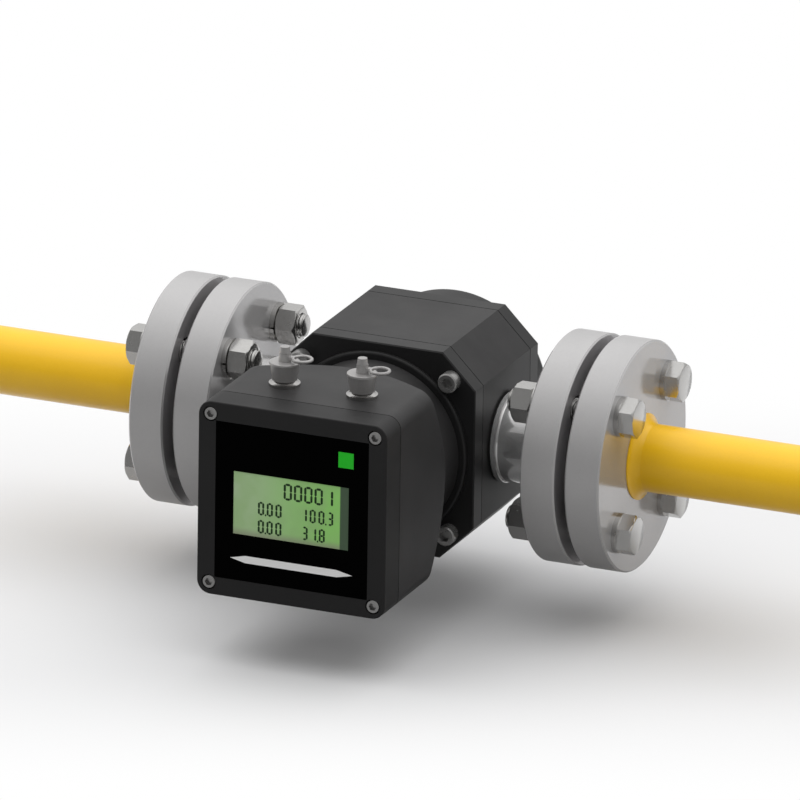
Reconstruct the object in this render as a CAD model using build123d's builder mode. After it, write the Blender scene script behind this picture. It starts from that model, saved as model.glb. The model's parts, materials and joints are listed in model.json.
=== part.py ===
from build123d import *
from math import acos, cos, pi, radians, sin, sqrt, tan
import os

os.makedirs("parts", exist_ok=True)

# Gas meter with two lobed rotors, its swivelling totalizer head, and the flanged pipe
# stubs it hangs between. Gas flows along +X, the rotors turn about Y, the head faces -Y.
# The origin is the centre of the inlet pipe's open end.

# Pipe stubs and plate flanges, 25 mm nominal bore
pipe_d = 33.7
pipe_wall = 2.6
pipe_reach = 235
pipe_setback = 3
weld_leg = 4.6
weld_len = 5.6
weld_land = 0.6
weld_hollow = 0.4
flange_d = 115
flange_t = 18
flange_rim_chamfer = 0.8
flange_bore_d = 34
raised_face_d = 68
raised_face_h = 2
face_to_face = 206
gasket_t = 1.5
gasket_bore_d = 35

# Flange bolting, M12
bolt_circle_d = 85
bolt_count = 4
bolt_d = 12
bolt_hole_d = 14
bolt_across_flats = 18
bolt_head_h = 7.5
bolt_end_past_nut = 2.7
nut_h = 10.8
washer_d = 20
washer_bore_d = 12.4
washer_t = 2.5
washer_slit = 1

# Meter body: an eight-sided casing between two end plates
body_w = 104.6
body_h = 106.4
body_corner = 17.7
body_edge_chamfer = 0.6
casing_depth = 60
plate_t = 10
seam_t = 0.5
seam_inset = 0.6
port_d = 25

# Necks between the body and the meter flanges
neck_d = 44
neck_collar_d = 45.6
neck_collar_t = 3
neck_groove = 0.8
neck_seal_t = 0.7
neck_spigot_d = 36
neck_spigot_len = 11
neck_socket_depth = 8

# Rotors, shafts and timing gears
rotor_spacing = 36
rotor_clearance = 0.12
chamber_clearance = 0.15
rotor_end_clearance = 0.15
lightening_d = 9
lightening_offset = 16
shaft_d = 12
shaft_hole_d = 13
journal_d = 10
bearing_d = 26
bearing_w = 8
bearing_inner_land_d = 14.4
bearing_outer_land_d = 21.6
bearing_rim_chamfer = 0.4
ball_d = 4.76
ball_play = 0.06
ball_count = 7
retainer_t = 2
retainer_w = 30
retainer_hole_d = 18
retainer_screw_spread = 23
gear_module = 2
gear_w = 8
gear_hub_d = 14
gear_hub_len = 3
gear_backlash = 0.1
gear_pressure_angle = 20
gear_nut_across_flats = 17
gear_nut_h = 5
shaft_end_past_nut = 1.5
magnet_disc_d = 24
magnet_disc_t = 4
magnet_seat_d = 8
magnet_gap = 2.5

# Rear cover over the timing gears
rear_cover_d = 99
rear_cover_depth = 24
rear_cover_end_t = 5
rear_cover_edge_r = 6
gear_case_clearance = 1.6
cover_screw_circle_d = 81
cover_screw_count = 6

# Front boss: pressure wall, sensor seat and swivel spigot of the head
boss_d = 97.8
boss_h = 2.5
boss_edge_r = 1.5
boss_spigot_d = 78.5
boss_spigot_len = 10
boss_cavity_d = 70
boss_wall = 3
boss_screw_circle_d = 84.4
boss_screw_count = 6
sensor_d = 14
sensor_len = 12
sensor_flange_d = 20
sensor_flange_t = 2
sensor_x = 8

# Totalizer head
head_w = 99
head_corner_r = 7
head_wall = 4.5
housing_depth = 57.3
bezel_depth = 17.2
bezel_wall = 4
bezel_edge_r = 0.8
neck_barrel_d = 90
neck_barrel_len = 27.7
shoulder_d = 98.8
shoulder_edge_r = 2
pocket_depth = 37.3
head_post_d = 11
head_post_spread = 86.4
swivel_fit = 0.08

# Display
panel_w = 80
panel_t = 1.5
panel_fit = 0.2
window_w = 60.4
window_h = 32
window_x = -0.4
window_z = -0.4
glass_recess = 0.3
glass_margin = 4
glass_back_t = 3.5
display_board_margin = 8
board_t = 1.6

# Electronics behind the display
main_board_w = 74
main_board_setback = 14
standoff_spread = 62
standoff_across_flats = 6
battery_d = 26
battery_len = 50
battery_z = -14
battery_clip_t = 1
battery_clip_len = 30
battery_clip_foot = 16

# Cable sockets with dust caps on top of the head
socket_spread = 40.8
socket_from_front = 38
socket_base_d = 15.5
socket_base_h = 1.4
socket_flare_h = 1.4
socket_barrel_d = 10.4
socket_barrel_h = 10.2
socket_cup_d = 8
socket_cup_depth = 9
socket_thread_d = 12
socket_thread_len = 8.5
socket_nut_across_flats = 15
socket_nut_h = 3
contact_d = 1
contact_count = 4
contact_circle_d = 4.4
contact_len = 2.5
insert_t = 1.2
cap_fit = 0.1
cap_gap = 0.1
cap_waist_d = 12.2
cap_skirt_d = 14.5
cap_rim_d = 15.2
cap_rim_t = 1.2
cap_roof_t = 2
stem_d = 3.6
stem_head_d = 5.4
stem_top_d = 4.6
stem_h = 7.5
eyelet_sleeve_d = 6.2
eyelet_sleeve_h = 4.2
eyelet_ring_d = 11
eyelet_wire_d = 1.7
eyelet_reach = 14.7
eyelet_lug_w = 3
eyelet_lug_t = 1.4

# Screws: M6 in the body, M4 in the covers, M3 inside
body_screw_side_margin = 12.8
body_screw_top_margin = 13.7
body_screw_d = 6
body_screw_head_d = 10
body_screw_head_h = 6
body_screw_grip = 12
rear_screw_sink = 6.2
cover_screw_d = 4
cover_screw_head_d = 7
cover_screw_head_h = 4
cover_screw_sink = 5
cover_screw_grip = 7
counterbore_fit = 0.4
bezel_screw_head_d = 7
bezel_screw_bore_d = 7.6
bezel_screw_sink = 4.1
bezel_screw_grip = 10
small_screw_d = 3
small_screw_head_d = 5.5
small_screw_grip = 5
lock_screw_len = 4.4
lock_screw_sink = 0.4
screw_fit = 0.05

# Stations along the flow axis, measured from the meter's middle
meter_flange_back = face_to_face / 2 - raised_face_h - flange_t
pipe_flange_face = face_to_face / 2 + gasket_t
pipe_flange_disc = pipe_flange_face + raised_face_h
pipe_flange_back = pipe_flange_disc + flange_t
nut_seat = meter_flange_back - washer_t
head_seat = pipe_flange_back + washer_t
bolt_len = head_seat - nut_seat + nut_h + bolt_end_past_nut
pipe_start = pipe_flange_face + pipe_setback
port_face = body_w / 2
collar_start = port_face + neck_seal_t
collar_end = collar_start + neck_collar_t
neck_end = meter_flange_back + neck_socket_depth

# Stations along the rotor axes, measured from the meter's middle, towards the front
casing_front = casing_depth / 2
plate_in = casing_front + seam_t
plate_out = plate_in + plate_t
bearing_in = plate_out - bearing_w
boss_front = plate_out + boss_h
boss_cap_front = boss_front + boss_spigot_len
shoulder_front = boss_front + neck_barrel_len
housing_front = shoulder_front + housing_depth
bezel_back = housing_front + seam_t
head_front = bezel_back + bezel_depth
panel_back = head_front - panel_t
bezel_wall_back = head_front - bezel_wall
glass_back = panel_back - glass_back_t
pocket_floor = housing_front - pocket_depth
main_board_front = housing_front - main_board_setback
main_board_back = main_board_front - board_t
magnet_back = plate_out + retainer_t + magnet_gap
magnet_front = magnet_back + magnet_disc_t

# Stations towards the back
cover_seat = plate_out + seam_t
cover_back = cover_seat + rear_cover_depth
gear_front = plate_out + gear_hub_len
gear_back = gear_front + gear_w
shaft_back = gear_back + gear_nut_h + shaft_end_past_nut

# Spread of the body screws, which stay at the corners of the body
body_screw_spread_x = body_w - 2 * body_screw_side_margin
body_screw_spread_z = body_h - 2 * body_screw_top_margin

# Rotor sizes that follow from the spacing of the two axes
pitch_r = rotor_spacing / 2
rolling_r = pitch_r / 4
rotor_tip_r = pitch_r + 2 * rolling_r
chamber_w = 2 * (rotor_tip_r + chamber_clearance)
rotor_len = 2 * (plate_in - rotor_end_clearance)
gear_teeth = round(rotor_spacing / gear_module)
gear_tip_r = pitch_r + gear_module
gear_root_r = pitch_r - 1.25 * gear_module
gear_base_r = pitch_r * cos(radians(gear_pressure_angle))

# Heights on the head
head_top = head_w / 2
socket_row = head_front - socket_from_front
socket_foot = socket_base_h + socket_flare_h
socket_floor = socket_barrel_h - socket_cup_depth
cap_top = socket_barrel_h + cap_roof_t
battery_row = main_board_back - battery_clip_t - battery_d / 2

flow_axis = Axis((pipe_reach, 0, 0), (1, 0, 0))
flow_section = Plane(origin=(pipe_reach, 0, 0), x_dir=(1, 0, 0), z_dir=(0, -1, 0))
rotor_offsets = {"upper": rotor_spacing / 2, "lower": -rotor_spacing / 2}
sides = {"inlet": -1, "outlet": 1}
socket_xs = {"left": -socket_spread / 2, "right": socket_spread / 2}


# Planes that face along the flow, to the front, to the back and up
def station(x):
    return Plane(origin=(pipe_reach + x, 0, 0), x_dir=(0, 1, 0), z_dir=(1, 0, 0))


def facing_front(forward, x=0, z=0):
    return Plane(origin=(pipe_reach + x, -forward, z), x_dir=(1, 0, 0), z_dir=(0, -1, 0))


def facing_back(backward, x=0, z=0):
    return Plane(origin=(pipe_reach + x, backward, z), x_dir=(-1, 0, 0), z_dir=(0, 1, 0))


def on_head_top(x, z=0):
    return Plane(origin=(pipe_reach + x, -socket_row, head_top + z), x_dir=(1, 0, 0), z_dir=(0, 0, 1))


# Plane through an axis that runs to the front, and that axis, at height z
def turning_section(z=0):
    return Plane(origin=(pipe_reach, 0, z), x_dir=(0, -1, 0), z_dir=(-1, 0, 0))


def turning_axis(z=0):
    return Axis((pipe_reach, 0, z), (0, -1, 0))


def round_edges(part, diameter):
    return part.edges().filter_by(
        lambda edge: edge.geom_type == GeomType.CIRCLE and abs(2 * edge.radius - diameter) < 0.01
    )


# Spring lock washer on its seat at z = 0, slit on one side
def spring_washer():
    with BuildPart() as washer:
        with BuildSketch():
            Circle(washer_d / 2)
            Circle(washer_bore_d / 2, mode=Mode.SUBTRACT)
            with Locations((0, -washer_d / 2)):
                Rectangle(washer_slit, washer_d - washer_bore_d + 1, mode=Mode.SUBTRACT)
        extrude(amount=washer_t)
    return washer.part


# Hexagon with its corners turned off at 30 degrees, at the top or at both ends
def hexagon_blank(across_flats, height, both_ends):
    corner_r = across_flats / sqrt(3) + 0.1
    flat_r = across_flats / 2 * 0.96
    drop = (corner_r - flat_r) * tan(radians(30))
    foot = [(flat_r, 0), (corner_r, drop)] if both_ends else [(corner_r, 0)]
    with BuildPart() as blank:
        with BuildSketch():
            RegularPolygon(across_flats / 2, 6, major_radius=False)
        extrude(amount=height)
        with BuildSketch(Plane.XZ):
            with BuildLine():
                Polyline(
                    (0, 0),
                    *foot,
                    (corner_r, height - drop),
                    (flat_r, height),
                    (0, height),
                    close=True,
                )
            make_face()
        revolve(axis=Axis.Z, mode=Mode.INTERSECT)
    return blank.part


# Nut on its seat at z = 0
def hexagon_nut(thread_d, across_flats, height):
    with BuildPart() as nut:
        add(hexagon_blank(across_flats, height, both_ends=True))
        Hole(thread_d / 2 + screw_fit)
    return nut.part


# Hexagon bolt, head seated at z = 0, shank downwards
def hexagon_bolt(thread_d, length, across_flats, head_h):
    with BuildPart() as bolt:
        with BuildSketch():
            Circle(thread_d / 2)
        extrude(amount=-length)
        chamfer(round_edges(bolt, thread_d).sort_by(Axis.Z)[0], length=thread_d / 12)
        add(hexagon_blank(across_flats, head_h, both_ends=False))
    return bolt.part


# Socket head screw, head seated at z = 0, shank downwards
def socket_screw(thread_d, length, head_d, head_h):
    with BuildPart() as screw:
        with BuildSketch():
            Circle(head_d / 2)
        extrude(amount=head_h)
        chamfer(round_edges(screw, head_d).sort_by(Axis.Z)[-1], length=head_d / 16)
        with BuildSketch():
            Circle(thread_d / 2)
        extrude(amount=-length)
        with BuildSketch(Plane.XY.offset(head_h)):
            RegularPolygon(head_d / 4, 6, major_radius=False)
        extrude(amount=-head_h / 2, mode=Mode.SUBTRACT)
    return screw.part


# Countersunk screw, its flat top at z = 0
def countersunk_screw(thread_d, length, head_d):
    head_h = (head_d - thread_d) / 2
    with BuildPart() as screw:
        with BuildSketch(Plane.XZ):
            with BuildLine():
                Polyline(
                    (0, 0),
                    (head_d / 2, 0),
                    (thread_d / 2, -head_h),
                    (thread_d / 2, -length),
                    (0, -length),
                    close=True,
                )
            make_face()
        revolve(axis=Axis.Z)
        with BuildSketch():
            RegularPolygon(thread_d / 3, 6, major_radius=False)
        extrude(amount=-head_h, mode=Mode.SUBTRACT)
    return screw.part


# Eight-sided outline of the body, pulled in for the seams
def body_outline(inset):
    with BuildSketch() as outline:
        Rectangle(body_w, body_h)
        chamfer(outline.vertices(), length=body_corner)
        if inset > 0:
            offset(amount=-inset, kind=Kind.INTERSECTION)
    return outline.sketch


# Square outline of the head with rounded corners, and its hollow with four screw posts
def head_outline(inset):
    with BuildSketch() as outline:
        RectangleRounded(head_w - 2 * inset, head_w - 2 * inset, head_corner_r - inset)
    return outline.sketch


def head_hollow():
    hollow_w = head_w - 2 * head_wall
    with BuildSketch() as hollow:
        Rectangle(hollow_w, hollow_w)
        with GridLocations(head_post_spread, head_post_spread, 2, 2):
            Circle(head_post_d / 2, mode=Mode.SUBTRACT)
    return hollow.sketch


body_face = body_outline(0)
seam_face = body_outline(seam_inset)
head_face = head_outline(0)
head_seam_face = head_outline(seam_inset)
hollow_face = head_hollow()

# Necks: spigot, collar, groove and barrel, bored through for the gas
for name, side in sides.items():
    with BuildPart() as neck:
        with BuildSketch(flow_section):
            with BuildLine():
                Polyline(
                    (side * (port_face - neck_spigot_len), port_d / 2),
                    (side * (port_face - neck_spigot_len), neck_spigot_d / 2),
                    (side * collar_start, neck_spigot_d / 2),
                    (side * collar_start, neck_collar_d / 2),
                    (side * collar_end, neck_collar_d / 2),
                    (side * collar_end, neck_d / 2 - neck_groove),
                    (side * (collar_end + neck_groove), neck_d / 2 - neck_groove),
                    (side * (collar_end + neck_groove), neck_d / 2),
                    (side * neck_end, neck_d / 2),
                    (side * neck_end, port_d / 2),
                    close=True,
                )
            make_face()
        revolve(axis=flow_axis)
        collar_rim = round_edges(neck, neck_collar_d)
        chamfer(collar_rim, length=neck_collar_t / 8)
    neck.part.label = f"{name}_neck"
    export_step(neck.part, f"parts/{name}_neck.step")

# Meter flanges, socketed over the necks
for name, side in sides.items():
    with BuildPart() as meter_flange:
        with BuildSketch(station(side * meter_flange_back)):
            Circle(flange_d / 2)
        extrude(amount=side * flange_t)
        chamfer(round_edges(meter_flange, flange_d), length=flange_rim_chamfer)
        with BuildSketch(station(side * (meter_flange_back + flange_t))):
            Circle(raised_face_d / 2)
        extrude(amount=side * raised_face_h)
        with BuildSketch(station(side * meter_flange_back)):
            Circle(port_d / 2)
            with PolarLocations(bolt_circle_d / 2, bolt_count, start_angle=180 / bolt_count):
                Circle(bolt_hole_d / 2)
        extrude(amount=side * (flange_t + raised_face_h), mode=Mode.SUBTRACT)
        with BuildSketch(station(side * meter_flange_back)):
            Circle(neck_d / 2 + screw_fit)
        extrude(amount=side * neck_socket_depth, mode=Mode.SUBTRACT)
    meter_flange.part.label = f"{name}_meter_flange"
    export_step(meter_flange.part, f"parts/{name}_meter_flange.step")

# Pipe flanges, slipped over the pipes
for name, side in sides.items():
    with BuildPart() as pipe_flange:
        with BuildSketch(station(side * pipe_flange_disc)):
            Circle(flange_d / 2)
        extrude(amount=side * flange_t)
        chamfer(round_edges(pipe_flange, flange_d), length=flange_rim_chamfer)
        with BuildSketch(station(side * pipe_flange_face)):
            Circle(raised_face_d / 2)
        extrude(amount=side * raised_face_h)
        with BuildSketch(station(side * pipe_flange_face)):
            Circle(flange_bore_d / 2)
            with PolarLocations(bolt_circle_d / 2, bolt_count, start_angle=180 / bolt_count):
                Circle(bolt_hole_d / 2)
        extrude(amount=side * (flange_t + raised_face_h), mode=Mode.SUBTRACT)
    pipe_flange.part.label = f"{name}_pipe_flange"
    export_step(pipe_flange.part, f"parts/{name}_pipe_flange.step")

# Pipe stubs with the hollow-faced weld that closes them to their flanges
for name, side in sides.items():
    with BuildPart() as pipe:
        with BuildSketch(flow_section):
            with BuildLine():
                Polyline(
                    (side * (pipe_flange_back + weld_len), pipe_d / 2),
                    (side * pipe_reach, pipe_d / 2),
                    (side * pipe_reach, pipe_d / 2 - pipe_wall),
                    (side * pipe_start, pipe_d / 2 - pipe_wall),
                    (side * pipe_start, pipe_d / 2),
                    (side * pipe_flange_back, pipe_d / 2),
                    (side * pipe_flange_back, pipe_d / 2 + weld_leg),
                    (side * (pipe_flange_back + weld_land), pipe_d / 2 + weld_leg),
                )
                ThreePointArc(
                    (side * (pipe_flange_back + weld_land), pipe_d / 2 + weld_leg),
                    (side * (pipe_flange_back + weld_hollow * weld_len), pipe_d / 2 + weld_hollow * weld_leg),
                    (side * (pipe_flange_back + weld_len), pipe_d / 2),
                )
            make_face()
        revolve(axis=flow_axis)
    pipe.part.label = f"{name}_pipe"
    export_step(pipe.part, f"parts/{name}_pipe.step")

# Flange gaskets, one in each joint
with BuildPart() as flange_gaskets:
    for side in sides.values():
        with BuildSketch(station(side * face_to_face / 2)):
            Circle(raised_face_d / 2)
            Circle(gasket_bore_d / 2, mode=Mode.SUBTRACT)
        extrude(amount=side * gasket_t)
flange_gaskets.part.label = "flange_gaskets"
export_step(flange_gaskets.part, "parts/flange_gaskets.step")


# Where the bolt axes cross a station, turned so that local Z points away from the meter
def bolt_seats(x):
    seats = []
    for side in sides.values():
        for index in range(bolt_count):
            angle = radians(180 / bolt_count + 360 / bolt_count * index)
            seat_y = bolt_circle_d / 2 * cos(angle)
            seat_z = bolt_circle_d / 2 * sin(angle)
            seats.append(
                Plane(
                    origin=(pipe_reach + side * x, seat_y, seat_z),
                    x_dir=(0, 0, 1),
                    z_dir=(side, 0, 0),
                )
            )
    return seats


# Flange bolts, nuts and washers
flange_bolt = hexagon_bolt(bolt_d, bolt_len, bolt_across_flats, bolt_head_h)
with BuildPart() as flange_bolts:
    with Locations(*bolt_seats(head_seat)):
        add(flange_bolt)
flange_bolts.part.label = "flange_bolts"
export_step(flange_bolts.part, "parts/flange_bolts.step")

flange_nut = hexagon_nut(bolt_d, bolt_across_flats, nut_h)
with BuildPart() as flange_nuts:
    with Locations(*bolt_seats(nut_seat - nut_h)):
        add(flange_nut)
flange_nuts.part.label = "flange_nuts"
export_step(flange_nuts.part, "parts/flange_nuts.step")

flange_washer = spring_washer()
with BuildPart() as flange_washers:
    with Locations(*bolt_seats(nut_seat), *bolt_seats(pipe_flange_back)):
        add(flange_washer)
flange_washers.part.label = "flange_washers"
export_step(flange_washers.part, "parts/flange_washers.step")

# Bonded seals under the neck collars
with BuildPart() as neck_seals:
    for side in sides.values():
        with BuildSketch(station(side * port_face)):
            Circle(neck_d / 2)
            Circle(neck_spigot_d / 2 + screw_fit, mode=Mode.SUBTRACT)
        extrude(amount=side * neck_seal_t)
neck_seals.part.label = "neck_seals"
export_step(neck_seals.part, "parts/neck_seals.step")

# Casing with the rotor chamber, the gas ports and the screw holes
with BuildPart() as meter_casing:
    with BuildSketch(facing_front(-casing_front)):
        add(body_face)
        SlotCenterToCenter(rotor_spacing, chamber_w, rotation=90, mode=Mode.SUBTRACT)
    extrude(amount=casing_depth)
    with BuildSketch(station(-port_face)):
        Circle(port_d / 2)
    extrude(amount=body_w, mode=Mode.SUBTRACT)
    for side in sides.values():
        with BuildSketch(station(side * port_face)):
            Circle(neck_spigot_d / 2 + screw_fit)
        extrude(amount=-side * neck_spigot_len, mode=Mode.SUBTRACT)
    for seat in (facing_front(casing_front), facing_back(casing_front)):
        with Locations(seat):
            with GridLocations(body_screw_spread_x, body_screw_spread_z, 2, 2):
                Hole(body_screw_d / 2 + screw_fit, depth=body_screw_grip)
meter_casing.part.label = "meter_casing"
export_step(meter_casing.part, "parts/meter_casing.step")

# Paper gaskets in the two seams of the body
with BuildPart() as casing_gaskets:
    for seat in (facing_front(casing_front), facing_back(casing_front)):
        with BuildSketch(seat):
            add(seam_face)
            SlotCenterToCenter(rotor_spacing, chamber_w, rotation=90, mode=Mode.SUBTRACT)
            with GridLocations(body_screw_spread_x, body_screw_spread_z, 2, 2):
                Circle(body_screw_d / 2 + screw_fit, mode=Mode.SUBTRACT)
        extrude(amount=seam_t)
casing_gaskets.part.label = "casing_gaskets"
export_step(casing_gaskets.part, "parts/casing_gaskets.step")


# End plate: shaft holes, bearing seats open to the outside, screw holes
def end_plate(facing, screw_sink, cover_circle_d, cover_holes, cover_thread_d, cover_grip):
    with BuildPart() as plate:
        with BuildSketch(facing(plate_in)):
            add(body_face)
        extrude(amount=plate_t)
        outside = plate.faces().sort_by(Axis(facing(0).origin, facing(0).z_dir))[-1]
        chamfer(outside.edges(), length=body_edge_chamfer)
        with Locations(facing(plate_out)):
            with GridLocations(1, rotor_spacing, 1, 2):
                CounterBoreHole(shaft_hole_d / 2, bearing_d / 2 + screw_fit, bearing_w)
            with GridLocations(body_screw_spread_x, body_screw_spread_z, 2, 2):
                Hole(body_screw_d / 2 + screw_fit)
                if screw_sink > 0:
                    Hole(body_screw_head_d / 2 + counterbore_fit, depth=screw_sink)
            with GridLocations(retainer_screw_spread, 1, 2, 1):
                Hole(small_screw_d / 2 + screw_fit, depth=small_screw_grip)
            with PolarLocations(cover_circle_d / 2, cover_holes):
                Hole(cover_thread_d / 2 + screw_fit, depth=cover_grip)
    return plate.part


with BuildPart() as front_end_plate:
    add(end_plate(facing_front, 0, boss_screw_circle_d, boss_screw_count, small_screw_d, small_screw_grip))
front_end_plate.part.label = "front_end_plate"
export_step(front_end_plate.part, "parts/front_end_plate.step")

with BuildPart() as rear_end_plate:
    add(
        end_plate(
            facing_back,
            rear_screw_sink,
            cover_screw_circle_d,
            cover_screw_count,
            cover_screw_d,
            cover_screw_grip,
        )
    )
rear_end_plate.part.label = "rear_end_plate"
export_step(rear_end_plate.part, "parts/rear_end_plate.step")

# Body screws, through each end plate into the casing, the rear ones sunk flush
body_screw_seats = {
    "front": facing_front(plate_out),
    "rear": facing_back(plate_out - rear_screw_sink),
}
body_screw_lens = {
    "front": plate_t + seam_t + body_screw_grip - 1,
    "rear": plate_t - rear_screw_sink + seam_t + body_screw_grip - 1,
}
for name, seat in body_screw_seats.items():
    body_screw = socket_screw(body_screw_d, body_screw_lens[name], body_screw_head_d, body_screw_head_h)
    with BuildPart() as plate_screws:
        with Locations(seat):
            with GridLocations(body_screw_spread_x, body_screw_spread_z, 2, 2):
                add(body_screw)
    plate_screws.part.label = f"{name}_plate_screws"
    export_step(plate_screws.part, f"parts/{name}_plate_screws.step")


# Ball bearing ring about the local Z axis, with the ball groove cut in it
def bearing_ring(outer_d, inner_d, rim_d):
    with BuildPart() as ring:
        with BuildSketch():
            Circle(outer_d / 2)
            Circle(inner_d / 2, mode=Mode.SUBTRACT)
        extrude(amount=bearing_w)
        chamfer(round_edges(ring, rim_d), length=bearing_rim_chamfer)
        with Locations((0, 0, bearing_w / 2)):
            Torus(ball_circle_d / 2, ball_d / 2 + ball_play, mode=Mode.SUBTRACT)
    return ring.part


# The four bearings: outer rings and balls stay in the plates, inner rings turn
ball_circle_d = (bearing_d + journal_d) / 2
bearing_seats = {
    name: [facing_front(bearing_in, z=z), facing_back(bearing_in, z=z)]
    for name, z in rotor_offsets.items()
}
all_bearing_seats = bearing_seats["upper"] + bearing_seats["lower"]

outer_ring = bearing_ring(bearing_d, bearing_outer_land_d, bearing_d)
with BuildPart() as bearing_outer_rings:
    with Locations(*all_bearing_seats):
        add(outer_ring)
bearing_outer_rings.part.label = "bearing_outer_rings"
export_step(bearing_outer_rings.part, "parts/bearing_outer_rings.step")

with BuildPart() as bearing_balls:
    with Locations(*[seat.offset(bearing_w / 2) for seat in all_bearing_seats]):
        with PolarLocations(ball_circle_d / 2, ball_count):
            Sphere(ball_d / 2)
bearing_balls.part.label = "bearing_balls"
export_step(bearing_balls.part, "parts/bearing_balls.step")

inner_ring = bearing_ring(bearing_inner_land_d, journal_d + 2 * screw_fit, bearing_inner_land_d)
for name in rotor_offsets:
    with BuildPart() as bearing_inner_rings:
        with Locations(*bearing_seats[name]):
            add(inner_ring)
    bearing_inner_rings.part.label = f"{name}_bearing_inner_rings"
    export_step(bearing_inner_rings.part, f"parts/{name}_bearing_inner_rings.step")

# Plates that hold the outer rings in their seats, and their countersunk screws
with BuildPart() as bearing_retainers:
    for facing in (facing_front, facing_back):
        with BuildSketch(facing(plate_out)):
            SlotCenterToCenter(rotor_spacing, retainer_w, rotation=90)
            with GridLocations(1, rotor_spacing, 1, 2):
                Circle(retainer_hole_d / 2, mode=Mode.SUBTRACT)
        extrude(amount=retainer_t)
        with Locations(facing(plate_out + retainer_t)):
            with GridLocations(retainer_screw_spread, 1, 2, 1):
                CounterSinkHole(
                    small_screw_d / 2 + screw_fit,
                    small_screw_head_d / 2 + screw_fit,
                    depth=retainer_t,
                    counter_sink_angle=90,
                )
bearing_retainers.part.label = "bearing_retainers"
export_step(bearing_retainers.part, "parts/bearing_retainers.step")

retainer_screw = countersunk_screw(small_screw_d, retainer_t + small_screw_grip - 1, small_screw_head_d)
with BuildPart() as retainer_screws:
    for facing in (facing_front, facing_back):
        with Locations(facing(plate_out + retainer_t)):
            with GridLocations(retainer_screw_spread, 1, 2, 1):
                add(retainer_screw)
retainer_screws.part.label = "retainer_screws"
export_step(retainer_screws.part, "parts/retainer_screws.step")


# One lobe flank to flank: the curve of a small circle rolled outside the pitch circle,
# drawn in by the running clearance; its tangent turns three times as fast as phi
def lobe_points(steps=14):
    points = []
    for step in range(steps + 1):
        phi = pi / 2 * step / steps
        x = (pitch_r + rolling_r) * cos(phi) - rolling_r * cos(5 * phi)
        y = (pitch_r + rolling_r) * sin(phi) - rolling_r * sin(5 * phi)
        points.append((x - rotor_clearance * sin(3 * phi), y + rotor_clearance * cos(3 * phi)))
    return points


# One waist between the lobes: the same circle rolled inside the pitch circle
def waist_points(steps=14):
    points = []
    for step in range(steps + 1):
        phi = pi / 2 * step / steps
        x = (pitch_r - rolling_r) * cos(phi) + rolling_r * cos(3 * phi)
        y = (pitch_r - rolling_r) * sin(phi) - rolling_r * sin(3 * phi)
        points.append((x - rotor_clearance * sin(phi), y - rotor_clearance * cos(phi)))
    return points


# A quarter of the rotor's outline, turned to its place
def quarter(points, angle):
    return Spline(*[Vector(*point).rotate(Axis.Z, angle) for point in points])


with BuildSketch() as rotor_outline:
    with BuildLine():
        for angle in (0, 180):
            quarter(lobe_points(), angle)
            quarter(waist_points(), angle + 90)
    make_face()

# Rotors in phase: the upper one lies flat while the lower one stands upright
rotor_turns = {"upper": -45, "lower": 45}
for name, z in rotor_offsets.items():
    turn = rotor_turns[name]
    with BuildPart() as rotor:
        with BuildSketch(facing_front(-rotor_len / 2, z=z)):
            add(rotor_outline.sketch, rotation=turn)
            Circle(shaft_d / 2 + screw_fit, mode=Mode.SUBTRACT)
            with PolarLocations(lightening_offset, 2, start_angle=45 + turn):
                Circle(lightening_d / 2, mode=Mode.SUBTRACT)
        extrude(amount=rotor_len)
    rotor.part.label = f"{name}_rotor"
    export_step(rotor.part, f"parts/{name}_rotor.step")


# Shaft turned from bar; the upper one runs on to carry the magnet disc
def rotor_shaft(z, front_end):
    with BuildPart() as shaft:
        with BuildSketch(turning_section(z)):
            with BuildLine():
                Polyline(
                    (-shaft_back, 0),
                    (-shaft_back, journal_d / 2),
                    (-bearing_in, journal_d / 2),
                    (-bearing_in, shaft_d / 2),
                    (bearing_in, shaft_d / 2),
                    (bearing_in, journal_d / 2),
                    *front_end,
                    close=True,
                )
            make_face()
        revolve(axis=turning_axis(z))
        chamfer(round_edges(shaft, journal_d).sort_by(Axis.Y)[-1], length=0.5)
    return shaft.part


magnet_seat = [
    (magnet_back, journal_d / 2),
    (magnet_back, magnet_seat_d / 2),
    (magnet_front, magnet_seat_d / 2),
    (magnet_front, 0),
]
plain_end = [(plate_out, journal_d / 2), (plate_out, 0)]
for name, front_end in {"upper": magnet_seat, "lower": plain_end}.items():
    with BuildPart() as shaft:
        add(rotor_shaft(rotor_offsets[name], front_end))
    shaft.part.label = f"{name}_shaft"
    export_step(shaft.part, f"parts/{name}_shaft.step")

# Magnet disc on the upper shaft, read through the boss by the pulse sensor
with BuildPart() as magnet_disc:
    with BuildSketch(facing_front(magnet_back, z=rotor_offsets["upper"])):
        Circle(magnet_disc_d / 2)
        Circle(magnet_seat_d / 2 + screw_fit, mode=Mode.SUBTRACT)
    extrude(amount=magnet_disc_t)
magnet_disc.part.label = "magnet_disc"
export_step(magnet_disc.part, "parts/magnet_disc.step")


# Angle between an involute and its base point, seen from the gear's centre
def involute_angle(radius):
    lean = acos(min(1, gear_base_r / radius))
    return tan(lean) - lean


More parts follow.
